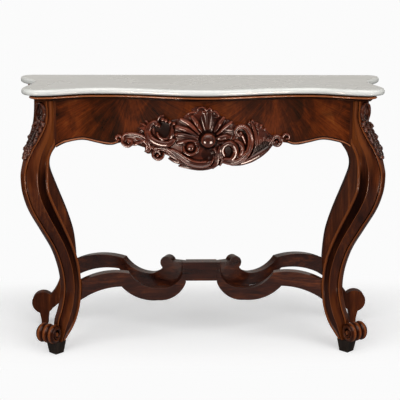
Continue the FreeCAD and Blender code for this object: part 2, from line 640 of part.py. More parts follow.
def cartouche():
    lower = upright(CARTOUCHE_LOWER)
    upper = upright(CARTOUCHE_UPPER)
    sides = [segment(lower[-1], upper[0]), segment(upper[-1], lower[0])]
    ground = slab([spline(lower), spline(upper)] + sides, VEC(0, TABLE_DEPTH, 0))
    carved = ground.common(plan_strip(GLUE_GAP, CARTOUCHE_GROUND, APRON_JOINT_X))
    root = CARTOUCHE_GROUND / 2
    boss = Part.makeSphere(BOSS_RADIUS, VEC(BOSS_X, apron_face_y(BOSS_X) - CARTOUCHE_GROUND, BOSS_Z))
    carved = carved.fuse(boss.common(plan_strip(root, TABLE_DEPTH / 4, APRON_JOINT_X)))
    for angle in spread(SHELL_FIRST_ANGLE, SHELL_LAST_ANGLE, SHELL_FLUTES):
        carved = carved.fuse(flute(angle))
    for scroll in (ring(LEFT_RING), ring(RIGHT_RING), ring(ROSETTE), ring(LEFT_VOLUTE), ring(RIGHT_VOLUTE),
                   ribbon(LEFT_SCROLL), ribbon(RIGHT_SCROLL)):
        carved = carved.fuse(scroll.common(plan_strip(root, CARTOUCHE_RELIEF, APRON_JOINT_X)))
    return carved


def save(shape, name):
    shape.exportStep("parts/" + name + ".step")


def save_pair(shape, name):
    save(shape, name + "_left")
    save(mirrored(shape), name + "_right")


def main():
    os.makedirs("parts", exist_ok=True)
    front, left, right = mouldings()
    save(marble_top(), "marble_top")
    save(front, "moulding_front")
    save(left, "moulding_left")
    save(right, "moulding_right")
    save(apron_front(), "apron_front")
    bead = apron_bead()
    save(bead, "apron_bead_right")
    save(mirrored(bead), "apron_bead_left")
    save(cartouche(), "cartouche")
    save_pair(side_rail(), "side_rail")
    save(rear_rail(), "rear_rail")
    save_pair(front_leg(), "front_leg")
    save_pair(leg_carving(), "leg_carving")
    save_pair(foot_block(), "foot_block")
    save_pair(rear_leg(), "rear_leg")
    save_pair(front_arm(), "stretcher_arm_front")
    save_pair(rear_arm(), "stretcher_arm_rear")
    save(stretcher_block(), "stretcher_block")


main()
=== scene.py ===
import math

import bpy
import numpy as np
from mathutils import Matrix, Vector


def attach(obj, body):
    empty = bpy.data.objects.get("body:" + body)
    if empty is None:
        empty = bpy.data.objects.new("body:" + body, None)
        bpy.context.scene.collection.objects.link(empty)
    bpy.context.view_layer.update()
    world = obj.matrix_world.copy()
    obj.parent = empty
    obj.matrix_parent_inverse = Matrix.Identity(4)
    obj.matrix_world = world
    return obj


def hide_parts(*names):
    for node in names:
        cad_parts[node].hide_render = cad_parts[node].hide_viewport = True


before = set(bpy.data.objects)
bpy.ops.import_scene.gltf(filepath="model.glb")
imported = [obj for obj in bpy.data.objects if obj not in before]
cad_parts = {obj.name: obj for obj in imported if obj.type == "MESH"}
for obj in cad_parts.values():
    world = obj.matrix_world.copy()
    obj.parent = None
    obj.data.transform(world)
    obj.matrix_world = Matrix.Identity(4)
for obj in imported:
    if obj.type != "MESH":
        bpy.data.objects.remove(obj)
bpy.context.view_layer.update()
MM = 0.001

# Camera: place, metres; turn to the right, tilt down and roll, degrees; lens and sensor, millimetres
CAMERA_PLACE = (-0.13647, -3.8583, 1.39506)
CAMERA_YAW = 1.94
CAMERA_PITCH = 12.94
CAMERA_ROLL = -0.29
CAMERA_LENS = 103.5
CAMERA_SENSOR = 36.0

# Plan of the apron's face, millimetres
APRON_CENTRE_Y = -164.0
APRON_RECESS_Y = -104.0
APRON_EAR_Y = -140.0
RECESS_START_X = 320.0
RECESS_END_X = 350.0
EAR_X = 529.0

# Slab's edge in plan, millimetres
MARBLE_CENTRE_Y = -214.0
MARBLE_RECESS_Y = -150.0
MARBLE_EAR_Y = -208.0
FRONT_EAR_RADIUS = 60.0
FRONT_EAR_Y = MARBLE_EAR_Y + FRONT_EAR_RADIUS
WAIST_X = 565.0
WAIST_Y = 10.0
REAR_EAR_X = 628.0
REAR_EAR_Y = 172.0
FRAME_BACK_Y = 208.0
MARBLE_BOTTOM = 895.0
# Points along the front, round a front ear and along each half of a side
FRONT_POINTS = 60
EAR_POINTS = 19
SIDE_POINTS = 16
# Moulding: inner ends of the side and front runs, greatest depth, least depth behind its section, and
# how squarely a stretch has to face the front or a side to end there
MOULDING_INNER_X = 455.0
MOULDING_INNER_Y = -74.0
MOULDING_DEEPEST = 90.0
MOULDING_LEDGE = 12.0
FACING = 0.1

# Section of the moulding: inset from the slab's edge, drop below the slab. Shades: 0 painted shade to 1 painted
# highlight, for the shadow under the slab, the lit ovolo and the dark cove
MOULDING = [(29, 0), (29, 5.0), (28, 5.8), (26.3, 6.6), (24.4, 8.0), (23.8, 10.0), (24.6, 12.0), (27, 13.4),
            (30.5, 14.0), (34, 14.8), (37, 16.2), (39, 17.8), (40, 19.0), (42, 19.6), (42, 22)]
MOULDING_SHADES = [0.0, 0.0, 0.1, 0.5, 0.85, 0.95, 0.85, 0.5, 0.15, 0.05, 0.05, 0.05, 0.1, 0.3, 0.1, 0.3, 0.3]

# Apron's lower edge from the cartouche to the leg; the bead's section as (out, up), and its shades: painted
# shade at its edges and a painted highlight on its crest
APRON_EDGE = [(279, 727), (304, 720), (349, 727), (398, 738), (448, 732), (470, 724), (481, 717)]
BEAD_SECTION = [(0, 0.4), (3, 0.2), (5.4, 1.2), (6.8, 3.6), (6.4, 6.2), (4.6, 7.8), (2.0, 8.4), (0.8, 9.2),
                (0.3, 11), (0, 11.4)]
BEAD_SHADES = [0.0, 0.0, 0.1, 0.6, 1.0, 0.8, 0.1, 0.0, 0.0, 0.1]

# Front legs: axis in plan, and (height, reach) of the outer and the inner outline
DIAGONAL = math.sqrt(0.5)
LEG_PLACE = (-520.0, -136.0)
LEG_OUTER = [(873, 10), (811, 11), (770, 31), (712, 70), (658, 92), (624, 96), (575, 90), (514, 67),
             (441, 22), (368, -23), (304, -48), (250, -59), (205, -59), (154, -46), (116, -30),
             (86, -26), (64, -20), (44, -14)]
LEG_INNER = [(873, -33), (780, -33), (735, -30), (706, -13), (676, 0), (624, 4), (575, 1), (520, -22),
             (441, -63), (368, -98), (304, -119), (250, -127), (205, -128), (154, -121), (116, -108),
             (86, -91), (64, -72), (44, -52)]
# Points per span of the outlines, rings of the leg and of its leaf, rounds that even out how they match
LEG_SPAN = 14
LEG_RINGS = 120
LEAF_RINGS = 160
EVENING_ROUNDS = 30
# Half-widths of the leg: outward face at the top and at the knee, arris, inner bead. The arris runs at this
# share of the leg's depth
FACE_TOP = 26.0
FACE_KNEE = 12.0
FACE_TOP_Z = 790.0
FACE_KNEE_Z = 655.0
ARRIS = 28.0
INNER = 23.0
ARRIS_SHARE = 0.46
# Leg's section. Outer bead: distance from the outer edge, offset from the face's half-width, painted shade.
# Hollow:
# share of its width, offset, depth, painted darkening. Inner bead, in a band of its own: distance from the
# inner edge, offset, swell, painted shade. The shades paint highlights on beads and arris and shade in grooves
# and the hollow
OUTER_BEAD = [(0, -5, 0.6), (0.7, -2.2, 0.7), (2.4, -0.6, 0.9), (4.4, -0.4, 0.85), (6.2, -2.4, 0.4),
              (7.0, -4.8, 0.05), (8.4, -5.0, 0.0), (9.2, -2.8, 0.3), (9.8, -1.6, 0.5)]
TROUGH = [(0.12, 0, 3.6, 0.3), (0.3, 0, 6.6, 0.35), (0.55, 1, 7.2, 0.4), (0.8, 2, 6.8, 0.45)]
INNER_BEAD = [(10.6, -0.8, 0, 0.7), (8.2, 0.3, 1.2, 0.85), (5.2, 0.5, 1.4, 0.95), (2.4, 0.6, 0, 0.85),
              (0.7, -2.2, 0, 0.6), (0, -6, 0, 0.5)]
INNER_BAND = 12.0
# The hollow: heights where it is full, runs out above and is shallow below, and its depth there as a share
HOLLOW_FULL_Z = 600.0
HOLLOW_END_Z = 760.0
HOLLOW_LOW_Z = 200.0
HOLLOW_LOW = 0.6
# Heights between which painted shade turns the face darker and then paler again
DUSK = (160.0, 260.0, 500.0, 560.0)
# Toe: middle as (reach, height), turn towards the front, radius, half-length, depth of the ribs round it
TOE_CENTRE = (3.0, 77.0)
TOE_TURN = math.radians(16)
TOE_RADIUS = 33.0
TOE_HALF_LENGTH = 33.0
RIB_DEPTH = 6.5
# Spiral under the toe: where it starts and ends about the toe's axis, and points along it
SPIRAL_START = math.radians(215)
SPIRAL_END = math.radians(775)
SPIRAL_STEPS = 70
# Joint block behind the leg's top: its side against the apron, the other corners, and its lower and upper end
BLOCK_APRON_X = 481
BLOCK_DEPTH = 28
BLOCK_CORNERS = [(-489, -97), (-513, -97), (-524, -116), (-500, -140)]
BLOCK_Z = (720, 873)
# Leaf on the leg: where it starts to wrap, inside the face's edge, and its clearance
LEAF_INSET = 2
LEAF_GAP = 0.2
# Spread of each husk on the leg's leaf, from the top down, to either hand
LEAF_REACH = {-1: (23, 15, 20, 12, 15, 9), 1: (22, 19, 13, 17, 10, 11)}

# Carving, millimetres: grid step, thickness of the ground, its rounded edge, clearance behind it, least height
# under a gouge, greatest height at the outline, and how near the outline a grid point is moved on to it
STEP = 1.0
GROUND = 4.0
PLATE_EDGE = 3.0
GLUE = 0.3
GOUGE_FLOOR = 1.5
EDGE_HEIGHT = 2.0
EDGE_REACH = 0.72
FAR = 1e3
# Shares of a band's half-width: height of its crown, groove, place of a scroll's ribs and their crown
CROWN = 0.62
GROOVE = 0.28
RIB = 0.7
RIB_CROWN = 0.45
# Painted shade of plain surfaces, rounds of the blur that tells crests from hollows, the height over it that
# spans the shades, and how soon the painted shade of a cavity starts
PLAIN = 0.5
BLUR_ROUNDS = 34
FULL_CREST = 12.0
GLOOM_RISE = 6
# Angle from which an edge shows as an arris
SHARP = math.radians(42)
HAND = {-1: "left", 1: "right"}

# Outline of the ground in the elevation, from the left, below and above
GROUND_LOWER = [
    (-272, 737), (-265, 724), (-251, 716), (-235, 721), (-223, 720), (-210, 726), (-199, 729), (-193, 718),
    (-192, 706), (-195, 701), (-182, 694), (-173, 696), (-162, 683), (-148, 678), (-136, 683), (-127, 696),
    (-112, 690), (-113, 682), (-98, 671), (-77, 667), (-78, 659), (-56, 655), (-19, 651), (12, 654), (35, 653),
    (48, 661), (61, 668), (72, 670), (99, 664), (120, 665), (159, 678), (199, 702), (225, 722), (238, 715),
    (250, 715), (259, 724), (263, 735)]
GROUND_UPPER = [
    (262, 744), (250, 753), (228, 754), (216, 764), (200, 778), (186, 794), (165, 805), (150, 798), (128, 795),
    (108, 790), (90, 808), (66, 818), (46, 832), (38, 843), (22, 845), (10, 846), (-3, 857), (-25, 856),
    (-40, 849), (-40, 836), (-62, 827), (-70, 818), (-92, 814), (-110, 809), (-128, 820), (-142, 815),
    (-152, 803), (-168, 796), (-178, 784), (-188, 787), (-204, 794), (-206, 780), (-214, 766), (-236, 764),
    (-258, 759), (-272, 750)]
# Middle of the boss
BOSS = (14, 748)


def ease(value, low, high, start=0.0, end=1.0):
    """Smooth step from start to end while a value, or an array of them, goes from low to high."""
    share = np.clip((value - low) / (high - low), 0, 1)
    return start + (end - start) * (0.5 - 0.5 * np.cos(np.pi * share))


def serpentine(x, centre_y, recess_y, ear_y):
    """Front line in plan: bulge, recess, then forward at the ear."""
    x = np.abs(x)
    return ease(x, 0, RECESS_START_X, centre_y, recess_y) + ease(x, RECESS_END_X, EAR_X, 0, ear_y - recess_y)


def apron_face_y(x):
    return serpentine(x, APRON_CENTRE_Y, APRON_RECESS_Y, APRON_EAR_Y)


def add(name, data):
    """New object in the scene."""
    item = bpy.data.objects.new(name, data)
    bpy.context.scene.collection.objects.link(item)
    return item


# -------- materials

class Nodes:
    """Shorthand for building the node tree of a material or a world."""

    def __init__(self, owner):
        owner.use_nodes = True
        self.owner = owner
        self.tree = owner.node_tree
        self.bsdf = self.tree.nodes.get("Principled BSDF")
        self.places = self.new("ShaderNodeTexCoord").outputs
        self.object = self.places["Object"]

    def put(self, value, socket):
        """Link an output, or set a number, a vector or a colour."""
        if isinstance(value, bpy.types.NodeSocket):
            self.tree.links.new(value, socket)
        elif socket.type == "RGBA":
            socket.default_value = (*value, 1) if isinstance(value, tuple) else (value, value, value, 1)
        else:
            socket.default_value = value

    def new(self, kind, inputs=(), **settings):
        node = self.tree.nodes.new(kind)
        for key, value in settings.items():
            setattr(node, key, value)
        for key, value in dict(inputs).items():
            self.put(value, node.inputs[key])
        return node

    def stretched(self, scale, turn=(0, 0, 0)):
        node = self.new("ShaderNodeMapping", {"Vector": self.object, "Scale": scale, "Rotation": turn})
        return node.outputs["Vector"]

    def noise(self, vector, scale, detail=4.0, roughness=0.55, distortion=0.0):
        inputs = {"Vector": vector, "Scale": scale, "Detail": detail, "Roughness": roughness,
                  "Distortion": distortion}
        return self.new("ShaderNodeTexNoise", inputs).outputs["Fac"]

    def math(self, operation, *values):
        return self.new("ShaderNodeMath", enumerate(values), operation=operation).outputs[0]

    def parts(self, vector):
        return self.new("ShaderNodeSeparateXYZ", {0: vector}).outputs

    def ramp(self, factor, stops):
        node = self.new("ShaderNodeValToRGB", {"Fac": factor})
        elements = node.color_ramp.elements
        while len(elements) < len(stops):
            elements.new(0.5)
        for element, (position, colour) in zip(elements, stops):
            element.position = position
            element.color = (*colour, 1)
        return node.outputs["Color"]

    def mix(self, factor, a, b, blend="MIX"):
        node = self.new("ShaderNodeMix", {}, data_type="RGBA", blend_type=blend)
        for key, value in ((0, factor), (6, a), (7, b)):
            self.put(value, node.inputs[key])
        return node.outputs[2]

    def span(self, value, low, high, to_low=0.0, to_high=1.0, fade="LINEAR"):
        inputs = {"Value": value, "From Min": low, "From Max": high, "To Min": to_low, "To Max": to_high}
        return self.new("ShaderNodeMapRange", inputs, interpolation_type=fade).outputs["Result"]

    def bump(self, height, strength, distance):
        node = self.new("ShaderNodeBump", {"Strength": strength, "Distance": distance, "Height": height})
        self.put(node.outputs["Normal"], self.bsdf.inputs["Normal"])

    def finish(self, colour, roughness, coat=0.0, coat_roughness=0.1, specular=0.5):
        for key, value in {"Base Color": colour, "Roughness": roughness, "Coat Weight": coat,
                           "Coat Roughness": coat_roughness, "Specular IOR Level": specular}.items():
            self.put(value, self.bsdf.inputs[key])
        return self.owner


DARK = (0.020, 0.0045, 0.0022)
MIDDLE = (0.092, 0.0190, 0.0050)
LIGHT = (0.27, 0.068, 0.014)
# Scale of the grain along and across the fibres, per metre; streaks and pores are that many times finer
GRAIN = (2.4, 30.0)
DRY_GRAIN = (3.0, 42.0)
STREAK_FINER = 5
PORE_FINER = 22
# Height below which painted shade darkens the wood towards the floor, and height at which it is full, metres
PAINTED_SHADE_TOP = 0.66
PAINTED_SHADE_FULL = 0.30
# The varnish carries the gloss, so the wood under it reflects next to nothing
WOOD_SPECULAR = 0.03


def grain(n, along, scales, finer=1):
    """Coordinates stretched along the fibres."""
    return n.stretched([scales[axis != along] * finer for axis in "xyz"])


def dimmed(colour, share):
    return tuple(c * share for c in colour)


def varnished_wood(name, along, dark=DARK, middle=MIDDLE, light=LIGHT, carved=0.0, coat=0.8, satin=0.06,
                   painted_low_shade=0.0):
    """Grain along one axis, pores, cloudy patina, painted shade towards the floor and in hollows, painted
    highlight on crests by the relief, glossy or satin varnish.
    """
    n = Nodes(bpy.data.materials.new(name))
    figure = n.noise(grain(n, along, GRAIN), 1.0, 5.0, 0.55, 0.7)
    streak = n.noise(grain(n, along, GRAIN, STREAK_FINER), 1.0, 3.0, 0.6, 0.3)
    pores = n.noise(grain(n, along, GRAIN, PORE_FINER), 1.0, 2.0, 0.5)
    cloud = n.noise(n.object, 6.5, 3.0, 0.55, 0.4)
    tone = n.math("MULTIPLY_ADD", streak, 0.26, n.math("MULTIPLY", figure, 0.62))
    colour = n.ramp(tone, [(0.30, dark), (0.46, middle), (0.64, light)])
    colour = n.mix(n.span(cloud, 0.38, 0.7, 0.0, 0.55), colour, dark)
    colour = n.mix(n.span(pores, 0.62, 0.72, 0.0, 0.4), colour, dimmed(dark, 0.35))
    # Painted shade: the wood grows darker towards the floor
    height = n.parts(n.object)["Z"]
    colour = n.mix(n.span(height, PAINTED_SHADE_TOP, PAINTED_SHADE_FULL, 0.0, painted_low_shade), colour, dark)
    # Painted shade in the hollows and painted highlight on the crests, from the relief shades
    if carved:
        relief = n.new("ShaderNodeAttribute", attribute_name="relief").outputs["Fac"]
        colour = n.mix(n.span(relief, 0.42, 0.1, 0.0, 0.9), colour, dimmed(dark, 0.3))
        colour = n.mix(n.span(relief, 0.58, 0.95, 0.0, carved), colour, light)
        coat = n.span(relief, 0.12, 0.4, 0.05 * coat, coat)
    rough = n.math("MULTIPLY_ADD", cloud, 0.22, n.span(streak, 0.3, 0.7, 0.28, 0.42))
    n.bump(n.math("MULTIPLY_ADD", pores, -0.5, streak), 0.12, 0.0006)
    return n.finish(colour, rough, coat, satin, WOOD_SPECULAR)


# Book-matched veneer: distance of its two axes from the middle, and height from which the feathers fan down
VENEER_AXIS_X = 0.238
VENEER_FAN_Z = 0.93


def flame_veneer(name):
    """Crotch veneer: feathers that fan down from two axes, dark clouds between."""
    n = Nodes(bpy.data.materials.new(name))
    place = n.parts(n.object)
    x = place["X"]
    away = n.math("ABSOLUTE", n.math("SUBTRACT", n.math("ABSOLUTE", x), VENEER_AXIS_X))
    drop = n.math("SUBTRACT", VENEER_FAN_Z, place["Z"])
    wobble = n.noise(n.stretched((9, 9, 5)), 1.0, 3.0)
    angle = n.math("ARCTAN2", n.math("MULTIPLY_ADD", wobble, 0.02, away), drop)
    inputs = [n.math("MULTIPLY", value, scale) for value, scale in ((angle, 9.0), (drop, 3.0), (x, 1.5))]
    feather = n.new("ShaderNodeCombineXYZ", enumerate(inputs)).outputs[0]
    plume = n.noise(feather, 1.3, 4.0, 0.5, 0.8)
    fine = n.noise(feather, 9.0, 3.0, 0.6, 0.2)
    mottle = n.noise(n.stretched((17, 17, 11), (3, 0, 0)), 1.0, 5.0, 0.62, 1.4)
    streak = n.math("MULTIPLY_ADD", plume, 0.28, n.math("MULTIPLY", mottle, 0.42))
    streak = n.math("MULTIPLY_ADD", fine, 0.32, streak)
    band = n.math("COSINE", n.math("MULTIPLY", n.math("MULTIPLY_ADD", wobble, 0.05, away), 31.0))
    # The tone rises slowly from the left end of the apron to the right
    lift = n.math("MULTIPLY_ADD", x, 0.04, 0.101)
    tone = n.math("MULTIPLY_ADD", band, 0.058, n.math("MULTIPLY_ADD", streak, 0.84, lift))
    colour = n.ramp(tone, [(0.38, (0.014, 0.004, 0.0010)), (0.50, (0.058, 0.0105, 0.0016)),
                           (0.60, (0.15, 0.026, 0.0032)), (0.76, (0.27, 0.070, 0.011))])
    cloud = n.noise(n.object, 9.0, 4.0, 0.6, 0.8)
    colour = n.mix(n.span(cloud, 0.52, 0.70, 0.0, 0.55), colour, (0.024, 0.008, 0.002))
    rough = n.math("MULTIPLY_ADD", cloud, 0.2, n.span(fine, 0.3, 0.7, 0.28, 0.4))
    n.bump(fine, 0.05, 0.0005)
    return n.finish(colour, rough, 0.8, 0.06, WOOD_SPECULAR)


def marble(name):
    """White statuary marble: soft grey clouds, thin veins, polished with slight wear."""
    n = Nodes(bpy.data.materials.new(name))
    warp = n.noise(n.object, 2.2, 5.0, 0.6, 1.2)
    veins = n.noise(n.stretched((2.1, 4.4, 3.0), (0, 0, 0.5)), 1.4, 7.0, 0.62, 1.6)
    off_vein = n.math("ABSOLUTE", n.math("SUBTRACT", veins, 0.5))
    cloud = n.ramp(warp, [(0.3, (0.84, 0.85, 0.80)), (0.52, (0.89, 0.895, 0.85)), (0.75, (0.915, 0.91, 0.875))])
    veined = n.mix(n.span(off_vein, 0.0, 0.022, 0.10, 0.0), cloud, (0.55, 0.56, 0.53))
    speck = n.noise(n.object, 210.0, 2.0, 0.5)
    colour = n.mix(n.span(speck, 0.66, 0.74, 0.0, 0.2), veined, (0.5, 0.49, 0.45))
    rough = n.span(warp, 0.3, 0.7, 0.2, 0.34)
    n.bump(n.noise(n.object, 60.0, 3.0), 0.04, 0.0006)
    return n.finish(colour, rough, 0.15, 0.08)


def plain_wood(name, dark, light, along):
    """Dry unpolished wood with open grain."""
    n = Nodes(bpy.data.materials.new(name))
    fibre = n.noise(grain(n, along, DRY_GRAIN), 1.0, 6.0, 0.65, 0.6)
    dirt = n.noise(n.object, 14.0, 4.0)
    colour = n.ramp(fibre, [(0.32, dark), (0.68, light)])
    colour = n.mix(n.span(dirt, 0.5, 0.75, 0.0, 0.5), colour, dimmed(dark, 0.5))
    n.bump(fibre, 0.3, 0.001)
    return n.finish(colour, n.span(dirt, 0.3, 0.7, 0.5, 0.75), specular=0.15)


# How each varnished part departs from the plain look: carved is the painted highlight on crests, satin the
# coat's roughness
VARNISHED = {
    # moulded_upright: painted shade darkens the legs towards the floor; carved paints highlights on beads,
    # arrises and toe ribs
    "moulded_upright": dict(along="z", carved=0.75, coat=0.35, satin=0.13, painted_low_shade=0.5),
    # moulded: its light colour paints the highlight of the lit band on the mouldings
    "moulded": dict(along="x", middle=(0.14, 0.032, 0.009), light=(0.62, 0.200, 0.068), carved=0.9),
    "long": dict(along="x", satin=0.12),
    "deep": dict(along="y", satin=0.12),
    "carved": dict(along="x", dark=(0.012, 0.0030, 0.0019), middle=(0.100, 0.0185, 0.0088),
                   light=(0.32, 0.070, 0.031), carved=0.5, coat=1.0, satin=0.17),
    "rear": dict(along="z", dark=(0.016, 0.0042, 0.0024), middle=(0.082, 0.0185, 0.0060),
                 light=(0.30, 0.075, 0.016), coat=0.15, satin=0.3),
    # leaf: a darker copy of the carved look, painted shade for the leaf on the leg's outward face, which is
    # turned aside
    "leaf": dict(along="x", dark=(0.008, 0.0022, 0.0014), middle=(0.046, 0.0095, 0.0042),
                 light=(0.24, 0.062, 0.028), carved=0.6, coat=0.9, satin=0.08),
    # bead: its light colour paints the highlight on the bead's crest
    "bead": dict(along="x", light=(0.46, 0.150, 0.055), carved=0.8),
    "shaded": dict(along="x", dark=(0.012, 0.0035, 0.0024), middle=(0.048, 0.0110, 0.0050),
                   light=(0.19, 0.044, 0.011), satin=0.16),
}
MATERIALS = {key: varnished_wood("mahogany_" + key, **look) for key, look in VARNISHED.items()}
MATERIALS["veneer"] = flame_veneer("veneer")
MATERIALS["marble"] = marble("white_marble")
MATERIALS["secondary"] = plain_wood("secondary", (0.16, 0.09, 0.045), (0.3, 0.19, 0.1), "x")
MATERIALS["foot"] = plain_wood("foot_wood", (0.008, 0.006, 0.005), (0.030, 0.020, 0.015), "z")
# Material and width of the eased arrises of the nodes that stay, by the start of their names
NODE_LOOKS = {"marble_top": ("marble", 0), "apron_front": ("veneer", 0), "rear_rail": ("secondary", 0),
              "foot_block": ("foot", 1.5), "rear_leg": ("rear", 1.8), "side_rail": ("deep", 1.0),
              "stretcher_arm": ("shaded", 1.8), "stretcher_block": ("shaded", 1.6)}
WELD_REACH = 0.00002
EASED_ANGLE = math.radians(32)


def dress_nodes():
    for name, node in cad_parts.items():
        looks = [look for start, look in NODE_LOOKS.items() if name.startswith(start)]
        material, width = looks[0] if looks else ("long", 0)
        for i in range(len(node.material_slots)):
            node.material_slots[i].material = MATERIALS[material]
        if width:
            ease_edges(node, width * MM)


def ease_edges(node, width):
    """Slightly rounded arrises, as on hand-finished wood."""
    mesh = node.data
    if "custom_normal" in mesh.attributes:
        mesh.attributes.remove(mesh.attributes["custom_normal"])
    mesh.polygons.foreach_set("use_smooth", [True] * len(mesh.polygons))
    node.modifiers.new("weld", "WELD").merge_threshold = WELD_REACH
    bevel = node.modifiers.new("eased", "BEVEL")
    bevel.width = width
    bevel.segments = 3
    bevel.limit_method = "ANGLE"
    bevel.angle_limit = EASED_ANGLE
    bevel.harden_normals = True


def stand_in(name, points, faces, shades, material, node, sharp=False):
    """Piece shown in place of a CAD node: points in millimetres, shades from 0 in a hollow to 1 on a crest,
    for painted shade and painted highlight.
    """
    mesh = bpy.data.meshes.new(name)
    mesh.from_pydata((np.array(points, float) * MM).tolist(), [], faces)
    mesh.attributes.new("relief", "FLOAT", "POINT")
    mesh.attributes["relief"].data.foreach_set("value", np.array(shades, np.float32))
    mesh.validate()
    mesh.polygons.foreach_set("use_smooth", [True] * len(mesh.polygons))
    if sharp:
        mesh.set_sharp_from_angle(angle=SHARP)
    mesh.update()
    mesh.materials.append(MATERIALS[material])
    piece = add(name, mesh)
    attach(piece, "root")
    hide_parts(node)


# -------- carving

def smooth_line(points, per_span=9):
    """Points along a smooth line through the given ones."""
    p = np.array(points, float)
    padded = np.vstack([2 * p[0] - p[1], p, 2 * p[-1] - p[-2]])
    out = []
    for i in range(1, len(padded) - 2):
        a, b, c, d = padded[i - 1:i + 3]
        for t in np.arange(per_span) / per_span:
            out.append(0.5 * (2 * b + (c - a) * t + (2 * a - 5 * b + 4 * c - d) * t * t
                              + (3 * b - a - 3 * c + d) * t ** 3))
    return np.array(out + [p[-1]])


def around(h):
    """Sum of each grid point's four neighbours; the border repeats."""
    p = np.pad(h, 1, mode="edge")
    return p[:-2, 1:-1] + p[2:, 1:-1] + p[1:-1, :-2] + p[1:-1, 2:]


class Relief:
    """Height over a flat patch, cut by bands and domes."""

    def __init__(self, low, high):
        u = np.arange(low[0], high[0] + STEP, STEP)
        v = np.arange(low[1], high[1] + STEP, STEP)
        self.u, self.v = np.meshgrid(u, v, indexing="ij")
        self.height = np.zeros_like(self.u)
        self.outside = np.full_like(self.u, FAR)
        self.painted_gloom = np.zeros_like(self.u)

    def plate(self, outline, height):
        """Flat ground within a closed outline, rounded over at its edge."""
        ring = np.array(outline, float)
        inside = np.zeros(self.u.shape, bool)
        away = np.full(self.u.shape, FAR)
        for a, b in zip(ring, np.roll(ring, -1, 0)):
            run = b - a
            share = ((self.u - a[0]) * run[0] + (self.v - a[1]) * run[1]) / (run @ run)
            share = np.clip(share, 0, 1)
            away = np.minimum(away, np.hypot(self.u - a[0] - share * run[0], self.v - a[1] - share * run[1]))
            if a[1] != b[1]:
                spans = (self.v < a[1]) != (self.v < b[1])
                inside ^= spans & (self.u < a[0] + (self.v - a[1]) * run[0] / run[1])
        signed = np.where(inside, -away, away)
        self.outside = np.minimum(self.outside, signed)
        edge = np.clip(-signed / PLATE_EDGE, 0, 1)
        self.height = np.maximum(self.height, height * np.sqrt(1 - (1 - edge) ** 2) * inside)

    def reach(self, points, widths, height=0.0):
        """Nearest part of a band at each grid point: distance as a share of its half-width, distance beyond
        its edge, half-width, and height, which sinks where the band narrows."""
        line = smooth_line(points)
        along = np.linspace(0, 1, len(line))
        radii = np.interp(along, np.linspace(0, 1, len(widths)), widths)
        near = np.full(self.u.shape, FAR)
        place = np.zeros(self.u.shape)
        beyond = np.full(self.u.shape, FAR)
        for (pu, pv), share, radius in zip(line, along, radii):
            away = np.hypot(self.u - pu, self.v - pv)
            closer = away / radius < near
            near = np.where(closer, away / radius, near)
            place = np.where(closer, share, place)
            beyond = np.minimum(beyond, away - radius)
        radius = np.interp(place, along, radii)
        return near, beyond, radius, height * np.sqrt(radius / radii.max())

    def raise_to(self, near, shape, beyond):
        self.painted_gloom = np.where((near < 1) & (shape > self.height), 0, self.painted_gloom)
        self.height = np.where(near < 1, np.maximum(self.height, shape), self.height)
        self.outside = np.minimum(self.outside, beyond)

    def band(self, points, widths, height, groove=0.0):
        """Crowned moulding along a line, with a groove down its middle."""
        near, beyond, radius, tall = self.reach(points, widths, height)
        crown = np.minimum(CROWN * radius, tall)
        shape = tall - crown + crown * np.sqrt(1 - np.clip(near, 0, 1) ** 2)
        self.raise_to(near, shape - groove * np.exp(-(near / GROOVE) ** 2), beyond)

    def scroll(self, points, widths, height, depth=0.5):
        """Scroll with a rib down each side of a hollow; depth is the hollow's share of the half-width."""
        near, beyond, radius, tall = self.reach(points, widths, height)
        hollow = tall - depth * radius * (1 - (near / RIB) ** 2)
        flank = np.sqrt(np.clip(1 - ((near - RIB) / (1 - RIB)) ** 2, 0, 1))
        crown = np.minimum(RIB_CROWN * radius, tall)
        self.raise_to(near, np.where(near < RIB, hollow, tall - crown + crown * flank), beyond)

    def hollow(self, points, widths, depth):
        """Gouge cut along a line."""
        cut = depth * np.clip(1 - self.reach(points, widths)[0] ** 2, 0, 1)
        self.height = np.maximum(self.height - cut, np.minimum(self.height, GOUGE_FLOOR))

    def sink(self, centre, radii, floor, painted_gloom=0.5):
        """Cavity down to a floor height, darkened with painted shade."""
        away = np.hypot((self.u - centre[0]) / radii[0], (self.v - centre[1]) / radii[1])
        share = np.clip(1 - away ** 2, 0, 1)
        level = floor + (self.height - floor) * (1 - np.sqrt(share))
        self.height = np.where(away < 1, np.minimum(self.height, level), self.height)
        self.painted_gloom = np.maximum(self.painted_gloom, painted_gloom * np.clip(GLOOM_RISE * share, 0, 1))

    def dome(self, centre, radius, height):
        away = np.hypot(self.u - centre[0], self.v - centre[1])
        crown = min(CROWN * radius, height)
        cap = height - crown + crown * np.sqrt(np.clip(1 - (away / radius) ** 2, 0, 1))
        self.raise_to(away / radius, cap, away - radius)

    def soften(self, rounds):
        for _ in range(rounds):
            self.height = 0.5 * self.height + 0.5 * around(self.height) / 4

    def hollowness(self):
        """Painted shade and highlight: 0 in a cavity, 0.5 on plain ground, 1 on a crest, darker where a sink
        paints shade.
        """
        h = self.height
        for _ in range(BLUR_ROUNDS):
            h = (around(h) + h) / 5
        return np.clip(PLAIN + (self.height - h) / FULL_CREST - self.painted_gloom, 0, 1)

    def to_edge(self):
        """Kept grid points, with those next to the outline moved on to it: u, v, height and who is kept."""
        slope_u, slope_v = np.gradient(self.outside, STEP)
        steep = np.maximum(np.hypot(slope_u, slope_v), 0.5) ** 2
        edge = np.abs(self.outside) < EDGE_REACH * STEP
        u = np.where(edge, self.u - self.outside * slope_u / steep, self.u)
        v = np.where(edge, self.v - self.outside * slope_v / steep, self.v)
        height = np.where(edge, np.minimum(self.height, EDGE_HEIGHT), self.height)
        kept = (self.outside < 0) | edge
        return u[kept], v[kept], height[kept], kept


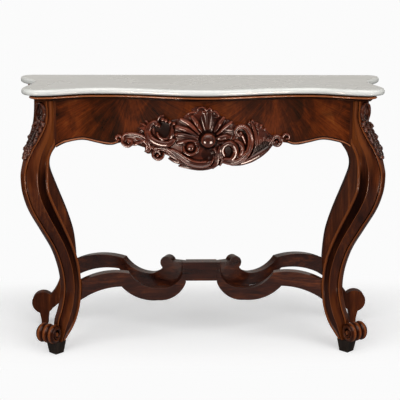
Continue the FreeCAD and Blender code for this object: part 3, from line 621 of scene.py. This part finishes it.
def carved_piece(name, relief, place, material, node, back=0.0):
    """Closed mesh: carved front, wall round the edge, plain back. place(u, v, height) gives millimetres."""
    u, v, height, kept = relief.to_edge()
    count = len(u)
    number = np.full(kept.shape, -1)
    number[kept] = np.arange(count)
    cells = np.stack([number[:-1, :-1], number[1:, :-1], number[1:, 1:], number[:-1, 1:]], -1).reshape(-1, 4)
    faces = [[int(k) for k in corners if k >= 0] for corners in cells if (corners >= 0).sum() >= 3]
    sides = dict.fromkeys(side for ring in faces for side in zip(ring, ring[1:] + ring[:1]))
    backs = [[k + count for k in reversed(ring)] for ring in faces]
    walls = [[q, p, p + count, q + count] for p, q in sides if (q, p) not in sides]
    points = np.vstack([place(u, v, height), place(u, v, np.full(count, back))])
    stand_in(name, points, faces + backs + walls, np.tile(relief.hollowness()[kept], 2), material, node)


def shell_flutes(r):
    """Rounded flutes that fan out from the boss, parted by deep grooves, and rise towards their tips."""
    fan = [(-16, 738), (-88, 738), (-97, 765), (-94, 790), (-84, 808), (-70, 818), (-60, 827), (-36, 826),
           (-30, 836), (0, 834), (30, 840), (45, 834), (50, 824), (66, 822), (78, 810), (92, 806), (84, 780),
           (40, 746)]
    r.plate(fan, 5.0)
    flutes = [
        ([(-22, 742), (-46, 745), (-66, 740), (-84, 735)], (3, 5, 6.5, 5), 15),
        ([(-16, 748), (-38, 758), (-64, 763), (-90, 763)], (3, 5.5, 7.5, 7), 18),
        ([(-14, 755), (-34, 769), (-58, 781), (-88, 789)], (3, 5.5, 8, 8), 19),
        ([(-10, 762), (-28, 782), (-48, 801), (-74, 815)], (3, 5.5, 7.5, 6), 21),
        ([(-5, 768), (-14, 788), (-24, 804), (-38, 823)], (3, 6, 8, 6), 22),
        ([(14, 772), (14, 790), (13, 810), (12, 826)], (14, 18, 23, 25), 10),
        ([(31, 768), (40, 784), (50, 801), (64, 820)], (3, 6, 8, 6), 22),
        ([(38, 762), (54, 776), (72, 792), (90, 806)], (3, 5, 6, 5), 20),
    ]
    for line, widths, height in flutes:
        r.band(line, widths, height)
    r.sink((14, 800), (34, 42), 8.0, 0.26)
    for lean, top in ((-1, 830), (0, 832), (1, 828)):
        r.hollow([(14 + 5 * lean, 780), (14 + 11 * lean, 804), (14 + 17 * lean, top)], (4, 5.5, 7), 1.5)
    for tip in ((-87, 790), (-91, 764), (86, 801)):
        r.dome(tip, 5.0, 22)


def crest(r):
    """Small scrolls that crown the shell."""
    r.band([(-24, 840), (-20, 850), (-9, 855), (3, 851), (5, 843), (-3, 841)], (2, 3.5, 4, 3), 15)
    r.band([(6, 838), (12, 848), (19, 851), (24, 845), (20, 839)], (2, 3.5, 2.5), 15)
    r.band([(24, 838), (34, 842), (44, 835), (48, 825), (40, 822)], (2.5, 4, 3.5, 2.5), 14)
    r.band([(-58, 828), (-44, 836), (-28, 838)], (2, 3.5, 2.5), 11)


def left_side(r):
    """Leaf, volute, ring and pearls left of the shell."""
    r.scroll([(-262, 738), (-262, 752), (-244, 758), (-220, 757), (-199, 750), (-184, 734), (-178, 714),
              (-183, 700)], (4, 7, 8, 8, 7, 5), 12, 0.2)
    r.band([(-264, 742), (-262, 755), (-244, 761), (-220, 760), (-196, 752), (-181, 736), (-175, 714),
            (-181, 702)], (3, 4.5, 5, 5, 5, 4, 3), 19)
    r.band([(-218, 744), (-202, 741), (-190, 732), (-186, 716), (-190, 703)], (3, 5, 4.5, 3), 15)
    r.band([(-268, 742), (-266, 727), (-252, 718), (-239, 723), (-237, 734), (-247, 739)], (5, 6, 4.5), 17)
    r.dome((-247, 732), 5, 20)
    r.band([(-236, 724), (-226, 724), (-214, 730), (-202, 733)], (4, 6, 4), 12)
    r.band([(-180, 764), (-194, 777), (-210, 781)], (8, 6, 2), 15, groove=2)
    r.band([(-182, 778), (-195, 790), (-206, 795)], (6, 5, 2), 12)
    r.band([(-178, 790), (-186, 801), (-192, 806)], (5, 4, 2), 9)
    r.band([(-104, 796), (-103, 778), (-104, 760), (-110, 746)], (4, 6, 7, 5), 15)
    r.sink((-136, 778), (26, 32), 2.0)
    r.band([(-146, 790), (-158, 801), (-172, 795), (-181, 781), (-183, 764), (-175, 748), (-158, 737),
            (-136, 731), (-114, 733), (-99, 744)], (6, 8, 9, 11, 12, 12, 11, 7), 25)
    r.band([(-152, 766), (-147, 754), (-134, 747), (-119, 749)], (3, 5, 5, 3), 17)
    r.dome((-154, 795), 7, 26)
    r.band([(-150, 808), (-144, 819), (-130, 824)], (4, 5, 3), 12)
    for pearl, size in (((-134, 812), 6.5), ((-123, 808), 6), ((-110.5, 804), 6), ((-98, 800), 6)):
        r.dome(pearl, size, 21)
    r.band([(-178, 742), (-172, 722), (-162, 714), (-148, 724), (-128, 728)], (5, 8, 8, 5), 9)


def lower_scrolls(r):
    """Ribbed leaves and the C-scroll that sweep below the boss."""
    r.scroll([(-162, 702), (-158, 712), (-142, 716), (-120, 712), (-100, 700), (-82, 684), (-64, 669),
              (-42, 660)], (4, 6, 8, 8, 8, 7, 5), 17, 0.4)
    r.band([(-130, 700), (-135, 686), (-150, 679), (-165, 688), (-163, 702), (-149, 706), (-143, 697)],
           (4, 6, 5, 4), 18)
    r.dome((-151, 692), 5.5, 20)
    r.band([(-132, 700), (-116, 698), (-100, 690), (-84, 681), (-68, 668)], (3, 5, 5, 3), 17)
    r.band([(-113, 682), (-96, 675), (-72, 668), (-50, 660)], (3, 6, 6, 3), 12)
    r.band([(-80, 659), (-52, 655), (-14, 651), (18, 655), (34, 664), (40, 684), (38, 706), (34, 722)],
           (3, 5.5, 6, 6, 6, 5), 14)
    r.scroll([(-104, 712), (-84, 700), (-62, 684), (-38, 671), (-8, 667), (14, 673), (24, 689), (22, 708),
              (12, 720)], (5, 9, 12, 12, 11, 9, 5.5), 25, 0.5)
    r.dome((13, 723), 6.5, 24)
    r.band([(14, 726), (24, 724), (30, 715)], (4, 4.5, 3), 19)
    r.band([(52, 724), (48, 704), (47, 684), (42, 666), (30, 653)], (4, 6, 6, 5, 3), 18)
    r.band([(60, 716), (58, 696), (59, 676), (54, 662)], (4, 5, 5, 3), 15)


def centre(r):
    """Boss in a sunk ring darkened with painted shade, petal, rosette."""
    r.sink(BOSS, (33, 33), 4.0, 0.6)
    r.sink((14, 700), (24, 22), 3.0, 0.3)
    r.dome(BOSS, 24.0, 35)
    r.band([(56, 773), (76, 780), (100, 776)], (3, 6, 3), 12)
    r.band([(38, 752), (54, 754), (70, 757), (86, 756)], (3, 9, 10, 4), 21)
    r.band([(44, 736), (60, 738), (78, 742)], (2, 4, 3), 12)
    r.dome((-43, 722), 24, 14)
    r.hollow([(-60, 722), (-52, 736), (-36, 736), (-27, 722), (-36, 708), (-50, 708), (-60, 722)], (5, 5), 9)
    r.dome((-44, 722), 12, 20)
    r.band([(-66, 724), (-62, 707), (-44, 699), (-27, 706), (-21, 722)], (3, 5.5, 3), 19)


def right_side(r):
    """Ring, big C-scroll and plumes right of the boss, with the end volute."""
    r.sink((85, 706), (26, 26), 2.5)
    r.sink((128, 752), (16, 26), 3.0, 0.4)
    r.band([(66, 696), (60, 712), (66, 728), (82, 735), (97, 728), (105, 711), (101, 692), (87, 680),
            (70, 682)], (6, 8, 9, 10, 9, 8, 7), 22)
    r.band([(96, 748), (108, 762), (124, 760), (132, 746), (138, 730)], (3, 7, 5, 3), 16)
    r.band([(104, 742), (120, 732), (128, 712), (121, 694), (108, 684)], (4, 8, 8, 5), 17)
    r.scroll([(60, 676), (78, 672), (100, 671), (122, 680), (141, 697), (152, 718), (155, 742), (150, 765),
              (139, 783), (123, 790), (108, 783), (104, 770), (114, 761), (122, 768)],
             (5, 8, 9, 10, 10, 9, 8, 7, 6, 5), 25, 0.5)
    plumes = [
        ([(152, 678), (166, 700), (174, 722), (174, 744), (168, 772), (156, 800)], 18),
        ([(172, 685), (183, 709), (188, 728), (188, 746), (184, 768), (172, 794)], 17),
        ([(190, 695), (198, 717), (201, 734), (200, 752), (194, 772), (186, 788)], 16),
        ([(206, 706), (212, 727), (213, 742), (209, 758), (200, 776)], 15),
        ([(221, 719), (223, 737), (221, 748), (216, 760)], 13),
    ]
    for line, height in plumes:
        r.band(line, (6, 7, 8, 8, 6, 3.5), height, groove=1.6)
    # Painted shade over the plumes' lower ends; a floor of 30 leaves their height as it is
    for shaded in ((172, 702), (188, 711), (204, 722)):
        r.sink(shaded, (20, 17), 30.0, 0.38)
    r.band([(92, 664), (124, 668), (156, 678), (184, 692), (208, 708), (230, 728)], (5, 9, 11, 11, 9, 5), 20)
    for tip in ((150, 801), (160, 807), (176, 796), (190, 789), (203, 777)):
        r.dome(tip, 4.5, 15)
    r.scroll([(200, 706), (216, 720), (226, 736), (236, 750), (250, 748), (257, 735), (250, 722), (239, 722),
              (234, 731)], (4, 5, 6, 7, 7, 6, 5), 18, 0.4)
    r.dome((243, 733), 4.5, 17)


def cartouche():
    """Carved panel with the boss and shell in the middle of the apron."""
    r = Relief((-296, 640), (300, 866))
    r.plate(GROUND_LOWER + GROUND_UPPER, GROUND)
    shell_flutes(r)
    crest(r)
    right_side(r)
    left_side(r)
    lower_scrolls(r)
    centre(r)
    # curls that end the apron's bead
    r.band([(-268, 733), (-268, 745), (-277, 752), (-287, 747), (-285, 738), (-278, 738)], (4, 5, 3.5), 14)
    r.band([(264, 736), (264, 750), (273, 757), (284, 752), (283, 742), (276, 741)], (4, 5, 3.5), 14)
    r.soften(4)

    def place(u, v, height):
        return np.column_stack([u, apron_face_y(u) - GLUE - height, v])

    carved_piece("carved_cartouche", r, place, "carved", "cartouche")


# -------- swept and turned parts

def solid(name, parts, material, node):
    """One stand-in from several parts, each given as points, faces and shades."""
    points, faces, shades = [], [], []
    for part_points, part_faces, part_shades in parts:
        faces += [[k + len(points) for k in face] for face in part_faces]
        points += part_points
        shades += part_shades
    stand_in(name, points, faces, shades, material, node, sharp=True)


def skin(rings, shades=None):
    """Closed surface through rings of equal count; shades are for one ring or for all of them in a row."""
    count = len(rings[0])
    faces = []
    for start in range(0, (len(rings) - 1) * count, count):
        for j in range(count):
            k = (j + 1) % count
            faces.append([start + j, start + k, start + count + k, start + count + j])
    faces.append(list(reversed(range(count))))
    faces.append([(len(rings) - 1) * count + j for j in range(count)])
    points = [tuple(p) for ring in rings for p in ring]
    shades = list(shades or [PLAIN] * count)
    return points, faces, shades * (len(points) // len(shades))


# -------- mouldings

def slab_line():
    """Right half of the slab's edge, from the middle of the front to the back of the frame."""
    front = np.linspace(0, EAR_X, FRONT_POINTS)[:-1]
    turn = np.radians(np.linspace(-90, 0, EAR_POINTS)[:-1])
    waist = np.linspace(FRONT_EAR_Y, WAIST_Y, SIDE_POINTS)[:-1]
    rear = np.linspace(WAIST_Y, REAR_EAR_Y, SIDE_POINTS)
    return np.vstack([np.column_stack(part) for part in (
        (front, serpentine(front, MARBLE_CENTRE_Y, MARBLE_RECESS_Y, MARBLE_EAR_Y)),
        (EAR_X + FRONT_EAR_RADIUS * np.cos(turn), FRONT_EAR_Y + FRONT_EAR_RADIUS * np.sin(turn)),
        (ease(waist, FRONT_EAR_Y, WAIST_Y, EAR_X + FRONT_EAR_RADIUS, WAIST_X), waist),
        (ease(rear, WAIST_Y, REAR_EAR_Y, WAIST_X, REAR_EAR_X), rear),
        ([REAR_EAR_X], [FRAME_BACK_Y]))])


def moulding_run(line):
    """Sweep of the moulding's section along part of the slab's edge, as deep as the frame leaves room."""
    run = np.gradient(line, axis=0)
    run /= np.linalg.norm(run, axis=1)[:, None]
    rings = []
    for (x, y), (run_x, run_y) in zip(line, run):
        in_x, in_y = -run_y, run_x
        depths = [MOULDING_DEEPEST]
        if in_y > FACING:
            depths.append((MOULDING_INNER_Y - y) / in_y)
        if in_x < -FACING:
            depths.append((MOULDING_INNER_X - x) / in_x)
        depth = max(min(depths), MOULDING[-1][0] + MOULDING_LEDGE)
        section = MOULDING + [(depth, MOULDING[-1][1]), (depth, 0)]
        rings.append([(x + in_x * inset, y + in_y * inset, MARBLE_BOTTOM - drop) for inset, drop in section])
    return skin(rings, MOULDING_SHADES)


def mouldings():
    """Front run mitred to the two side runs in the middle of the front ears."""
    half = slab_line()
    mitre = FRONT_EAR_RADIUS * DIAGONAL
    corner = int(np.argmin(np.hypot(half[:, 0] - EAR_X - mitre, half[:, 1] - FRONT_EAR_Y + mitre)))
    left = half[::-1] * (-1, 1)
    runs = {"front": np.vstack([left[-corner - 1:-1], half[:corner + 1]]), "right": half[corner:],
            "left": left[:len(half) - corner]}
    for place, line in runs.items():
        solid("moulding_run_" + place, [moulding_run(line)], "moulded", "moulding_" + place)


def apron_bead(side):
    """Round bead below a flat fillet, along the apron's lower edge from the cartouche to the leg."""
    line = smooth_line(APRON_EDGE, 10)
    run = np.gradient(line, axis=0)
    run /= np.hypot(*run.T)[:, None]
    rings = []
    for (x, z), (dx, dz) in zip(line, run):
        rings.append([((x - dz * up) * side, apron_face_y(x - dz * up) - GLUE - out, z + dx * up)
                      for out, up in BEAD_SECTION])
    solid("edge_bead_" + HAND[side], [skin(rings, BEAD_SHADES)], "bead", "apron_bead_" + HAND[side])


# -------- front legs

def leg_lines(count):
    """Matching points of the outer and inner outline, as (reach, height)."""
    outer, inner = (smooth_line([(reach, z) for z, reach in line], LEG_SPAN) for line in (LEG_OUTER, LEG_INNER))
    out_at, in_at = (np.concatenate([[0], np.cumsum(np.hypot(*np.diff(line, axis=0).T))])
                     for line in (outer, inner))
    stations = np.linspace(0, out_at[-1], count)
    line = np.column_stack([np.interp(stations, out_at, outer[:, i]) for i in (0, 1)])
    near = [in_at[np.argmin(np.hypot(*(inner - p).T))] for p in line]
    near = np.maximum.accumulate(near)
    near[0], near[-1] = 0, in_at[-1]
    for _ in range(EVENING_ROUNDS):
        near[1:-1] = (near[:-2] + near[1:-1] + near[2:]) / 3
    return line, np.column_stack([np.interp(near, in_at, inner[:, i]) for i in (0, 1)])


def leg_half_section(width, face, z):
    """Half of the moulded section: distance from the outer edge, distance from the middle plane, painted shade.
    """
    arris = ARRIS_SHARE * width
    hollow = width - INNER_BAND - arris
    deep = ease(z, HOLLOW_FULL_Z, HOLLOW_END_Z, 1, 0) * ease(z, HOLLOW_LOW_Z, HOLLOW_FULL_Z, HOLLOW_LOW, 1)
    middle = (ARRIS + INNER) / 2
    # pale: the face's painted shade, darker where the hollow is deep and between the DUSK heights
    pale = 0.84 - 0.27 * deep - 0.17 * np.interp(z, DUSK, (0, 1, 1, 0))
    outer_bead = [(at, face + off, shade) for at, off, shade in OUTER_BEAD]
    bead_end, bead_side, _ = outer_bead[-1]
    slope = [((bead_end + arris) / 2, (bead_side + ARRIS) / 2 + 0.4, pale), (arris - 3.0, ARRIS - 0.5, pale),
             (arris - 1.0, ARRIS - 0.1, 0.85), (arris, ARRIS, 0.9),
             (arris + 1.0, ARRIS - 0.4 - 1.2 * deep, pale - 0.1)]
    trough = [(arris + share * hollow, middle - off - cut * deep, pale - dim * deep)
              for share, off, cut, dim in TROUGH]
    inner_slope = [(width - 12.4, middle - 2.5 - 6.3 * deep, pale - 0.2 - 0.35 * deep),
                   (width - 11.6, INNER - 2 - 2 * deep, pale - 0.1 - 0.3 * deep)]
    inner_bead = [(width - at, INNER + off + cut * deep, shade) for at, off, cut, shade in INNER_BEAD]
    return outer_bead + slope + trough + inner_slope + inner_bead


def on_leg(reach, across, z, side):
    """Place in the frame of a point given by its reach along the diagonal, width and height."""
    x = LEG_PLACE[0] - DIAGONAL * reach + DIAGONAL * across
    y = LEG_PLACE[1] - DIAGONAL * reach - DIAGONAL * across
    return x * -side, y, z


def face_width(z):
    return ease(z, FACE_KNEE_Z, FACE_TOP_Z, FACE_KNEE, FACE_TOP)


def leg_body(side):
    """Cabriole from the apron to the toe, moulded down both faces."""
    rings, shades = [], []
    for out, inn in zip(*leg_lines(LEG_RINGS)):
        width = float(np.hypot(*(inn - out)))
        way = (inn - out) / width
        half = leg_half_section(width, face_width(out[1]), (out[1] + inn[1]) / 2)
        section = half + [(d, -w, shade) for d, w, shade in reversed(half)]
        rings.append([on_leg(out[0] + way[0] * d, w, out[1] + way[1] * d, side) for d, w, _ in section])
        shades += [shade for _, _, shade in section]
    return skin(rings, shades)


def circle(steps):
    """Cosines and sines of evenly spaced angles."""
    return [(math.cos(a), math.sin(a)) for a in np.linspace(0, 2 * math.pi, steps, endpoint=False)]


def turned(profile, side, steps=40):
    """Surface of revolution about the toe's axis: profile of (distance along the axis, radius, painted shade).
    """
    reach, z = TOE_CENTRE
    rings = [[on_leg(reach + radius * c, across, z + radius * s, side) for c, s in circle(steps)]
             for across, radius, _ in profile]
    return skin(rings, [shade for _, _, shade in profile for _ in range(steps)])


def toe_roll(side):
    """Three ribs round the roll; a sunk eye with a button at each end.
    The shades paint a highlight on each rib's crest and the button, and shade in the grooves and the ring round
    it.
    """
    edge = -TOE_HALF_LENGTH
    rib = 2 * TOE_HALF_LENGTH / 3
    ribs = []
    for start in (edge, edge + rib, edge + 2 * rib):
        for share in (0.06, 0.2, 0.35, 0.5, 0.65, 0.8, 0.94):
            swell = math.sin(math.pi * share) ** 0.7
            radius = TOE_RADIUS - RIB_DEPTH + RIB_DEPTH * swell
            ribs.append((start + rib * share, radius, 0.05 + 0.9 * swell ** 2))
    end = [(edge + 4, 0.5, 0.6), (edge - 1.5, 1.5, 0.9), (edge - 2.5, 4, 0.9), (edge - 1.5, 7, 0.7),
           (edge + 2.5, 8.5, 0.1), (edge + 6, 10, 0.0), (edge + 6, 15, 0.0), (edge + 1, 18, 0.3),
           (edge - 1.5, 21, 0.85), (edge - 0.5, 24, 0.6)]
    return turned(end + ribs + [(-a, r, shade) for a, r, shade in reversed(end)], side)


def rope(path, radii, side, steps=10):
    """Round bead along a path of (reach, across, height)."""
    path = np.array(path, float)
    rings = []
    for point, way, radius in zip(path, np.gradient(path, axis=0), radii):
        way = way / np.linalg.norm(way)
        first = np.array([0.0, 1.0, 0.0])
        first -= way * (first @ way)
        first /= np.linalg.norm(first)
        second = np.cross(way, first)
        rings.append([on_leg(*(point + radius * (c * first + s * second)), side) for c, s in circle(steps)])
    return skin(rings)


def toe_spiral(side, hand):
    """Bead that leaves the leg's inner edge, runs under the toe and winds in to the eye."""
    share = np.linspace(0, 1, SPIRAL_STEPS)
    turns = np.linspace(SPIRAL_START, SPIRAL_END, SPIRAL_STEPS)
    radii = TOE_RADIUS - 3.5 - (TOE_RADIUS - 14) * share ** 0.8
    across = hand * (TOE_HALF_LENGTH - 6 + 5.5 * np.minimum(share * 3, 1))
    path = [(TOE_CENTRE[0] + r * math.cos(t), a, TOE_CENTRE[1] + r * math.sin(t))
            for t, r, a in zip(turns, radii, across)]
    return rope(path, 4.6 - 2.0 * share, side)


def turned_in(part, side):
    """The toe faces a little more to the front than the leg does: turn it about its upright axis."""
    points, faces, shades = part
    cx, cy, _ = on_leg(TOE_CENTRE[0], 0, TOE_CENTRE[1], side)
    c, s = math.cos(TOE_TURN * side), math.sin(TOE_TURN * side)
    points = [(cx + (x - cx) * c + (y - cy) * s, cy - (x - cx) * s + (y - cy) * c, z) for x, y, z in points]
    return points, faces, shades


def corner_block(side):
    """Joint block behind the leg's top, a face to the apron and one to the side rail."""
    apron_y = apron_face_y(BLOCK_APRON_X)
    corners = [(-BLOCK_APRON_X, apron_y), (-BLOCK_APRON_X, apron_y + BLOCK_DEPTH)] + BLOCK_CORNERS
    return skin([[(x * -side, y, z) for x, y in corners] for z in BLOCK_Z])


def leg_leaf():
    """Leaf at the top and husks in pairs down a stem."""
    r = Relief((-30, 682), (30, 868))
    for hand in (-1, 1):
        r.band([(hand * 3, 864), (hand * 13, 858), (hand * 19, 842), (hand * 18, 824), (hand * 10, 806)],
               (3, 5, 5, 3), 11)
        r.band([(hand * 6, 848), (hand * 9, 832), (hand * 5, 812)], (2, 4, 2), 9)
        for i, reach in enumerate(LEAF_REACH[hand]):
            z = 798 - 17.5 * i + 2.5 * hand
            r.band([(hand * 2, z), (hand * reach * 0.6, z + 3), (hand * reach, z - 6),
                    (hand * reach * 0.8, z - 13)], (3, 5.5, 4.5, 2.5), 13 - 0.6 * i, groove=1.5)
            r.dome((hand * reach * 0.5, z - 9), 3.4, 10)
    r.band([(0, 866), (0, 838), (0, 806)], (3, 6, 4), 9, groove=2)
    r.band([(0, 806), (0, 760), (0, 700)], (6, 5, 4), 14, groove=2.5)
    r.dome((0, 694), 8, 13)
    r.soften(1)
    return r


def leg_carving(side):
    """Leaf and husks down the outward face, wrapped a little round its edges."""
    outer, inner = leg_lines(LEAF_RINGS)
    way = outer - inner
    way /= np.hypot(*way.T)[:, None]
    order = np.argsort(outer[:, 1])
    heights = outer[order, 1]

    def place(u, v, height):
        reach, lean, rise = (np.interp(v, heights, column[order]) for column in (outer[:, 0], *way.T))
        face = face_width(v) - LEAF_INSET
        over = np.maximum(np.abs(u) - face, 0)
        across = np.sign(u) * (np.minimum(np.abs(u), face) + 0.35 * over + 0.25 * height * (over > 0))
        out = height + LEAF_GAP - 0.9 * over
        return np.column_stack(on_leg(reach + lean * out, across, v + rise * out, side))

    hand = HAND[side]
    carved_piece("carved_leaf_" + hand, leg_leaf(), place, "leaf", "leg_carving_" + hand, back=-1.0)


def front_leg(side):
    toe = [turned_in(part, side) for part in (toe_roll(side), toe_spiral(side, 1), toe_spiral(side, -1))]
    parts = [leg_body(side), corner_block(side)] + toe
    solid("moulded_leg_" + HAND[side], parts, "moulded_upright", "front_leg_" + HAND[side])
    leg_carving(side)


# -------- stage

# Floor: grey seen by the camera, grey that lights the table, greys seen in the varnish near and far
FLOOR_SEEN = 1.48
FLOOR_BOUNCE = 0.35
MIRRORED_NEAR = 0.5
MIRRORED_FAR = 0.05
FLOOR_HALF = 30.0
# Ovals on the floor, their middle's y and their radii in metres: the near part seen in the varnish, and the
# part that keeps its shadow. They fade out between these shares of their radii
MIRRORED_OVAL = (-0.2, (1.9, 1.9))
SHADOW_OVAL = (0.24, (1.9, 0.55))
OVAL_INNER = 0.45
OVAL_OUTER = 1.0
# White paper: share of it over the shadow, its grey, and the grey behind the table
SHADOW_LIFT = 0.26
PAPER = 0.965
BACKDROP = 0.965
# Room: light from the horizon and from above, and its colour in the varnish
WORLD_HORIZON = 0.30
WORLD_ZENITH = 0.16
ZENITH_Z = 0.8
MIRRORED_ROOM = (0.030, 0.024, 0.020)
# Soft boxes in the varnish: azimuth from the front towards the right, elevation, half-angle, brightness
SOFT_BOXES = [(38, 24, 12, 2.0), (-40, 24, 12, 2.0), (88, 10, 26, 0.6), (-88, 10, 26, 0.6), (0, 58, 34, 3.0),
              (180, 14, 45, 0.45), (64, 50, 9, 6.0), (-64, 50, 9, 6.0)]
SOFT_BOX_COLOUR = (1.0, 0.93, 0.86)
SOFT_BOX_CORE = 0.55
# Low soft boxes in front of the table, seen in the varnish only: place, size, brightness and what they face
LOW_BOXES = {"low_right": (0.82, -1.22, 0.14), "low_left": (-0.82, -1.22, 0.14)}
LOW_BOX_SIZE = 0.56
LOW_BOX_BRIGHTNESS = 2.9
LOW_BOX_COLOUR = (1.0, 0.78, 0.66)
LOW_BOX_SPREAD = math.radians(48)
LOW_BOX_TARGET = (0.0, -0.15, 0.72)
# Lamps: azimuth, elevation, strength, softness
LAMPS = {"key": (32, 24, 1.35, 50), "fill": (-36, 22, 1.15, 50), "top": (0, 72, 0.5, 45)}


def beyond_oval(n, centre_y, radii):
    """0 in an oval on the floor about the table, 1 further off, with a soft edge."""
    oval = n.new("ShaderNodeMapping", {"Vector": n.object, "Location": (0, -centre_y / radii[1], 0),
                                       "Scale": (1 / radii[0], 1 / radii[1], 0)}).outputs["Vector"]
    reach = n.new("ShaderNodeVectorMath", {0: oval}, operation="LENGTH").outputs["Value"]
    return n.span(reach, OVAL_INNER, OVAL_OUTER, fade="SMOOTHSTEP")


def paper(name):
    """Floor: its shadow keeps to an oval, further off it is evenly white; dark in reflections."""
    n = Nodes(bpy.data.materials.new(name))
    path = n.new("ShaderNodeLightPath").outputs
    mirrored = n.mix(beyond_oval(n, *MIRRORED_OVAL), MIRRORED_NEAR, MIRRORED_FAR)
    shade = n.mix(path["Is Glossy Ray"], FLOOR_BOUNCE, mirrored)
    n.finish(n.mix(path["Is Camera Ray"], shade, FLOOR_SEEN), 1.0, specular=0.0)
    lift = n.span(beyond_oval(n, *SHADOW_OVAL), 0.0, 1.0, SHADOW_LIFT)
    white = n.new("ShaderNodeEmission", {"Color": PAPER}).outputs["Emission"]
    both = n.new("ShaderNodeMixShader", {"Fac": n.math("MULTIPLY", lift, path["Is Camera Ray"]),
                                         1: n.bsdf.outputs["BSDF"], 2: white}).outputs["Shader"]
    n.put(both, n.tree.nodes["Material Output"].inputs["Surface"])
    return n.owner


def make_stage():
    mesh = bpy.data.meshes.new("floor")
    corners = [(x * FLOOR_HALF, y * FLOOR_HALF, 0) for x, y in ((-1, -1), (1, -1), (1, 1), (-1, 1))]
    mesh.from_pydata(corners, [], [(0, 1, 2, 3)])
    mesh.materials.append(paper("floor"))
    add("floor", mesh)


def towards(azimuth, elevation):
    a, e = math.radians(azimuth), math.radians(elevation)
    return Vector((math.sin(a) * math.cos(e), -math.cos(a) * math.cos(e), math.sin(e)))


def make_world():
    """Studio surround: plain and soft for the light it gives, dark with soft boxes in reflections."""
    world = bpy.data.worlds.new("studio")
    bpy.context.scene.world = world
    n = Nodes(world)
    direction = n.places["Generated"]
    room = n.span(n.parts(direction)["Z"], 0.0, ZENITH_Z, WORLD_HORIZON, WORLD_ZENITH)
    mirrored = MIRRORED_ROOM
    for azimuth, elevation, half, bright in SOFT_BOXES:
        facing = n.new("ShaderNodeVectorMath", {0: direction, 1: towards(azimuth, elevation)},
                       operation="DOT_PRODUCT").outputs["Value"]
        edge, core = math.cos(math.radians(half)), math.cos(math.radians(half * SOFT_BOX_CORE))
        mirrored = n.mix(1.0, mirrored, n.span(facing, edge, core, 0.0, bright, "SMOOTHSTEP"), "ADD")
    mirrored = n.mix(1.0, mirrored, SOFT_BOX_COLOUR, "MULTIPLY")
    path = n.new("ShaderNodeLightPath").outputs
    lit = n.mix(path["Is Glossy Ray"], room, mirrored)
    n.put(n.mix(path["Is Camera Ray"], lit, BACKDROP), n.tree.nodes["Background"].inputs["Color"])


def lamp(name, kind, back, **settings):
    """Light that stands in the direction back from what it lights."""
    data = bpy.data.lights.new(name, kind)
    for key, value in settings.items():
        setattr(data, key, value)
    light = add(name, data)
    light.rotation_mode = "QUATERNION"
    light.rotation_quaternion = back.to_track_quat("Z", "Y")
    return light


def make_lights():
    """Distant soft lamps that no reflection shows, and low soft boxes that only reflections show."""
    for name, (azimuth, elevation, strength, softness) in LAMPS.items():
        light = lamp(name, "SUN", towards(azimuth, elevation), energy=strength, angle=math.radians(softness))
        light.visible_glossy = False
    for name, place in LOW_BOXES.items():
        light = lamp(name, "AREA", Vector(place) - Vector(LOW_BOX_TARGET), size=LOW_BOX_SIZE,
                     energy=math.pi * LOW_BOX_SIZE ** 2 * LOW_BOX_BRIGHTNESS, color=LOW_BOX_COLOUR,
                     spread=LOW_BOX_SPREAD)
        light.location = place
        light.visible_camera = False
        light.visible_diffuse = False


def make_camera():
    data = bpy.data.cameras.new("camera")
    data.lens = CAMERA_LENS
    data.sensor_width = CAMERA_SENSOR
    camera = add("camera", data)
    camera.matrix_world = Matrix.Translation(CAMERA_PLACE)
    for axis, angle in (("Z", -CAMERA_YAW), ("X", 90 - CAMERA_PITCH), ("Z", -CAMERA_ROLL)):
        camera.matrix_world = camera.matrix_world @ Matrix.Rotation(math.radians(angle), 4, axis)
    bpy.context.scene.camera = camera


dress_nodes()
mouldings()
front_leg(-1)
front_leg(1)
apron_bead(-1)
apron_bead(1)
cartouche()
make_stage()
make_world()
make_lights()
make_camera()
bpy.context.scene.view_settings.view_transform = "Standard"
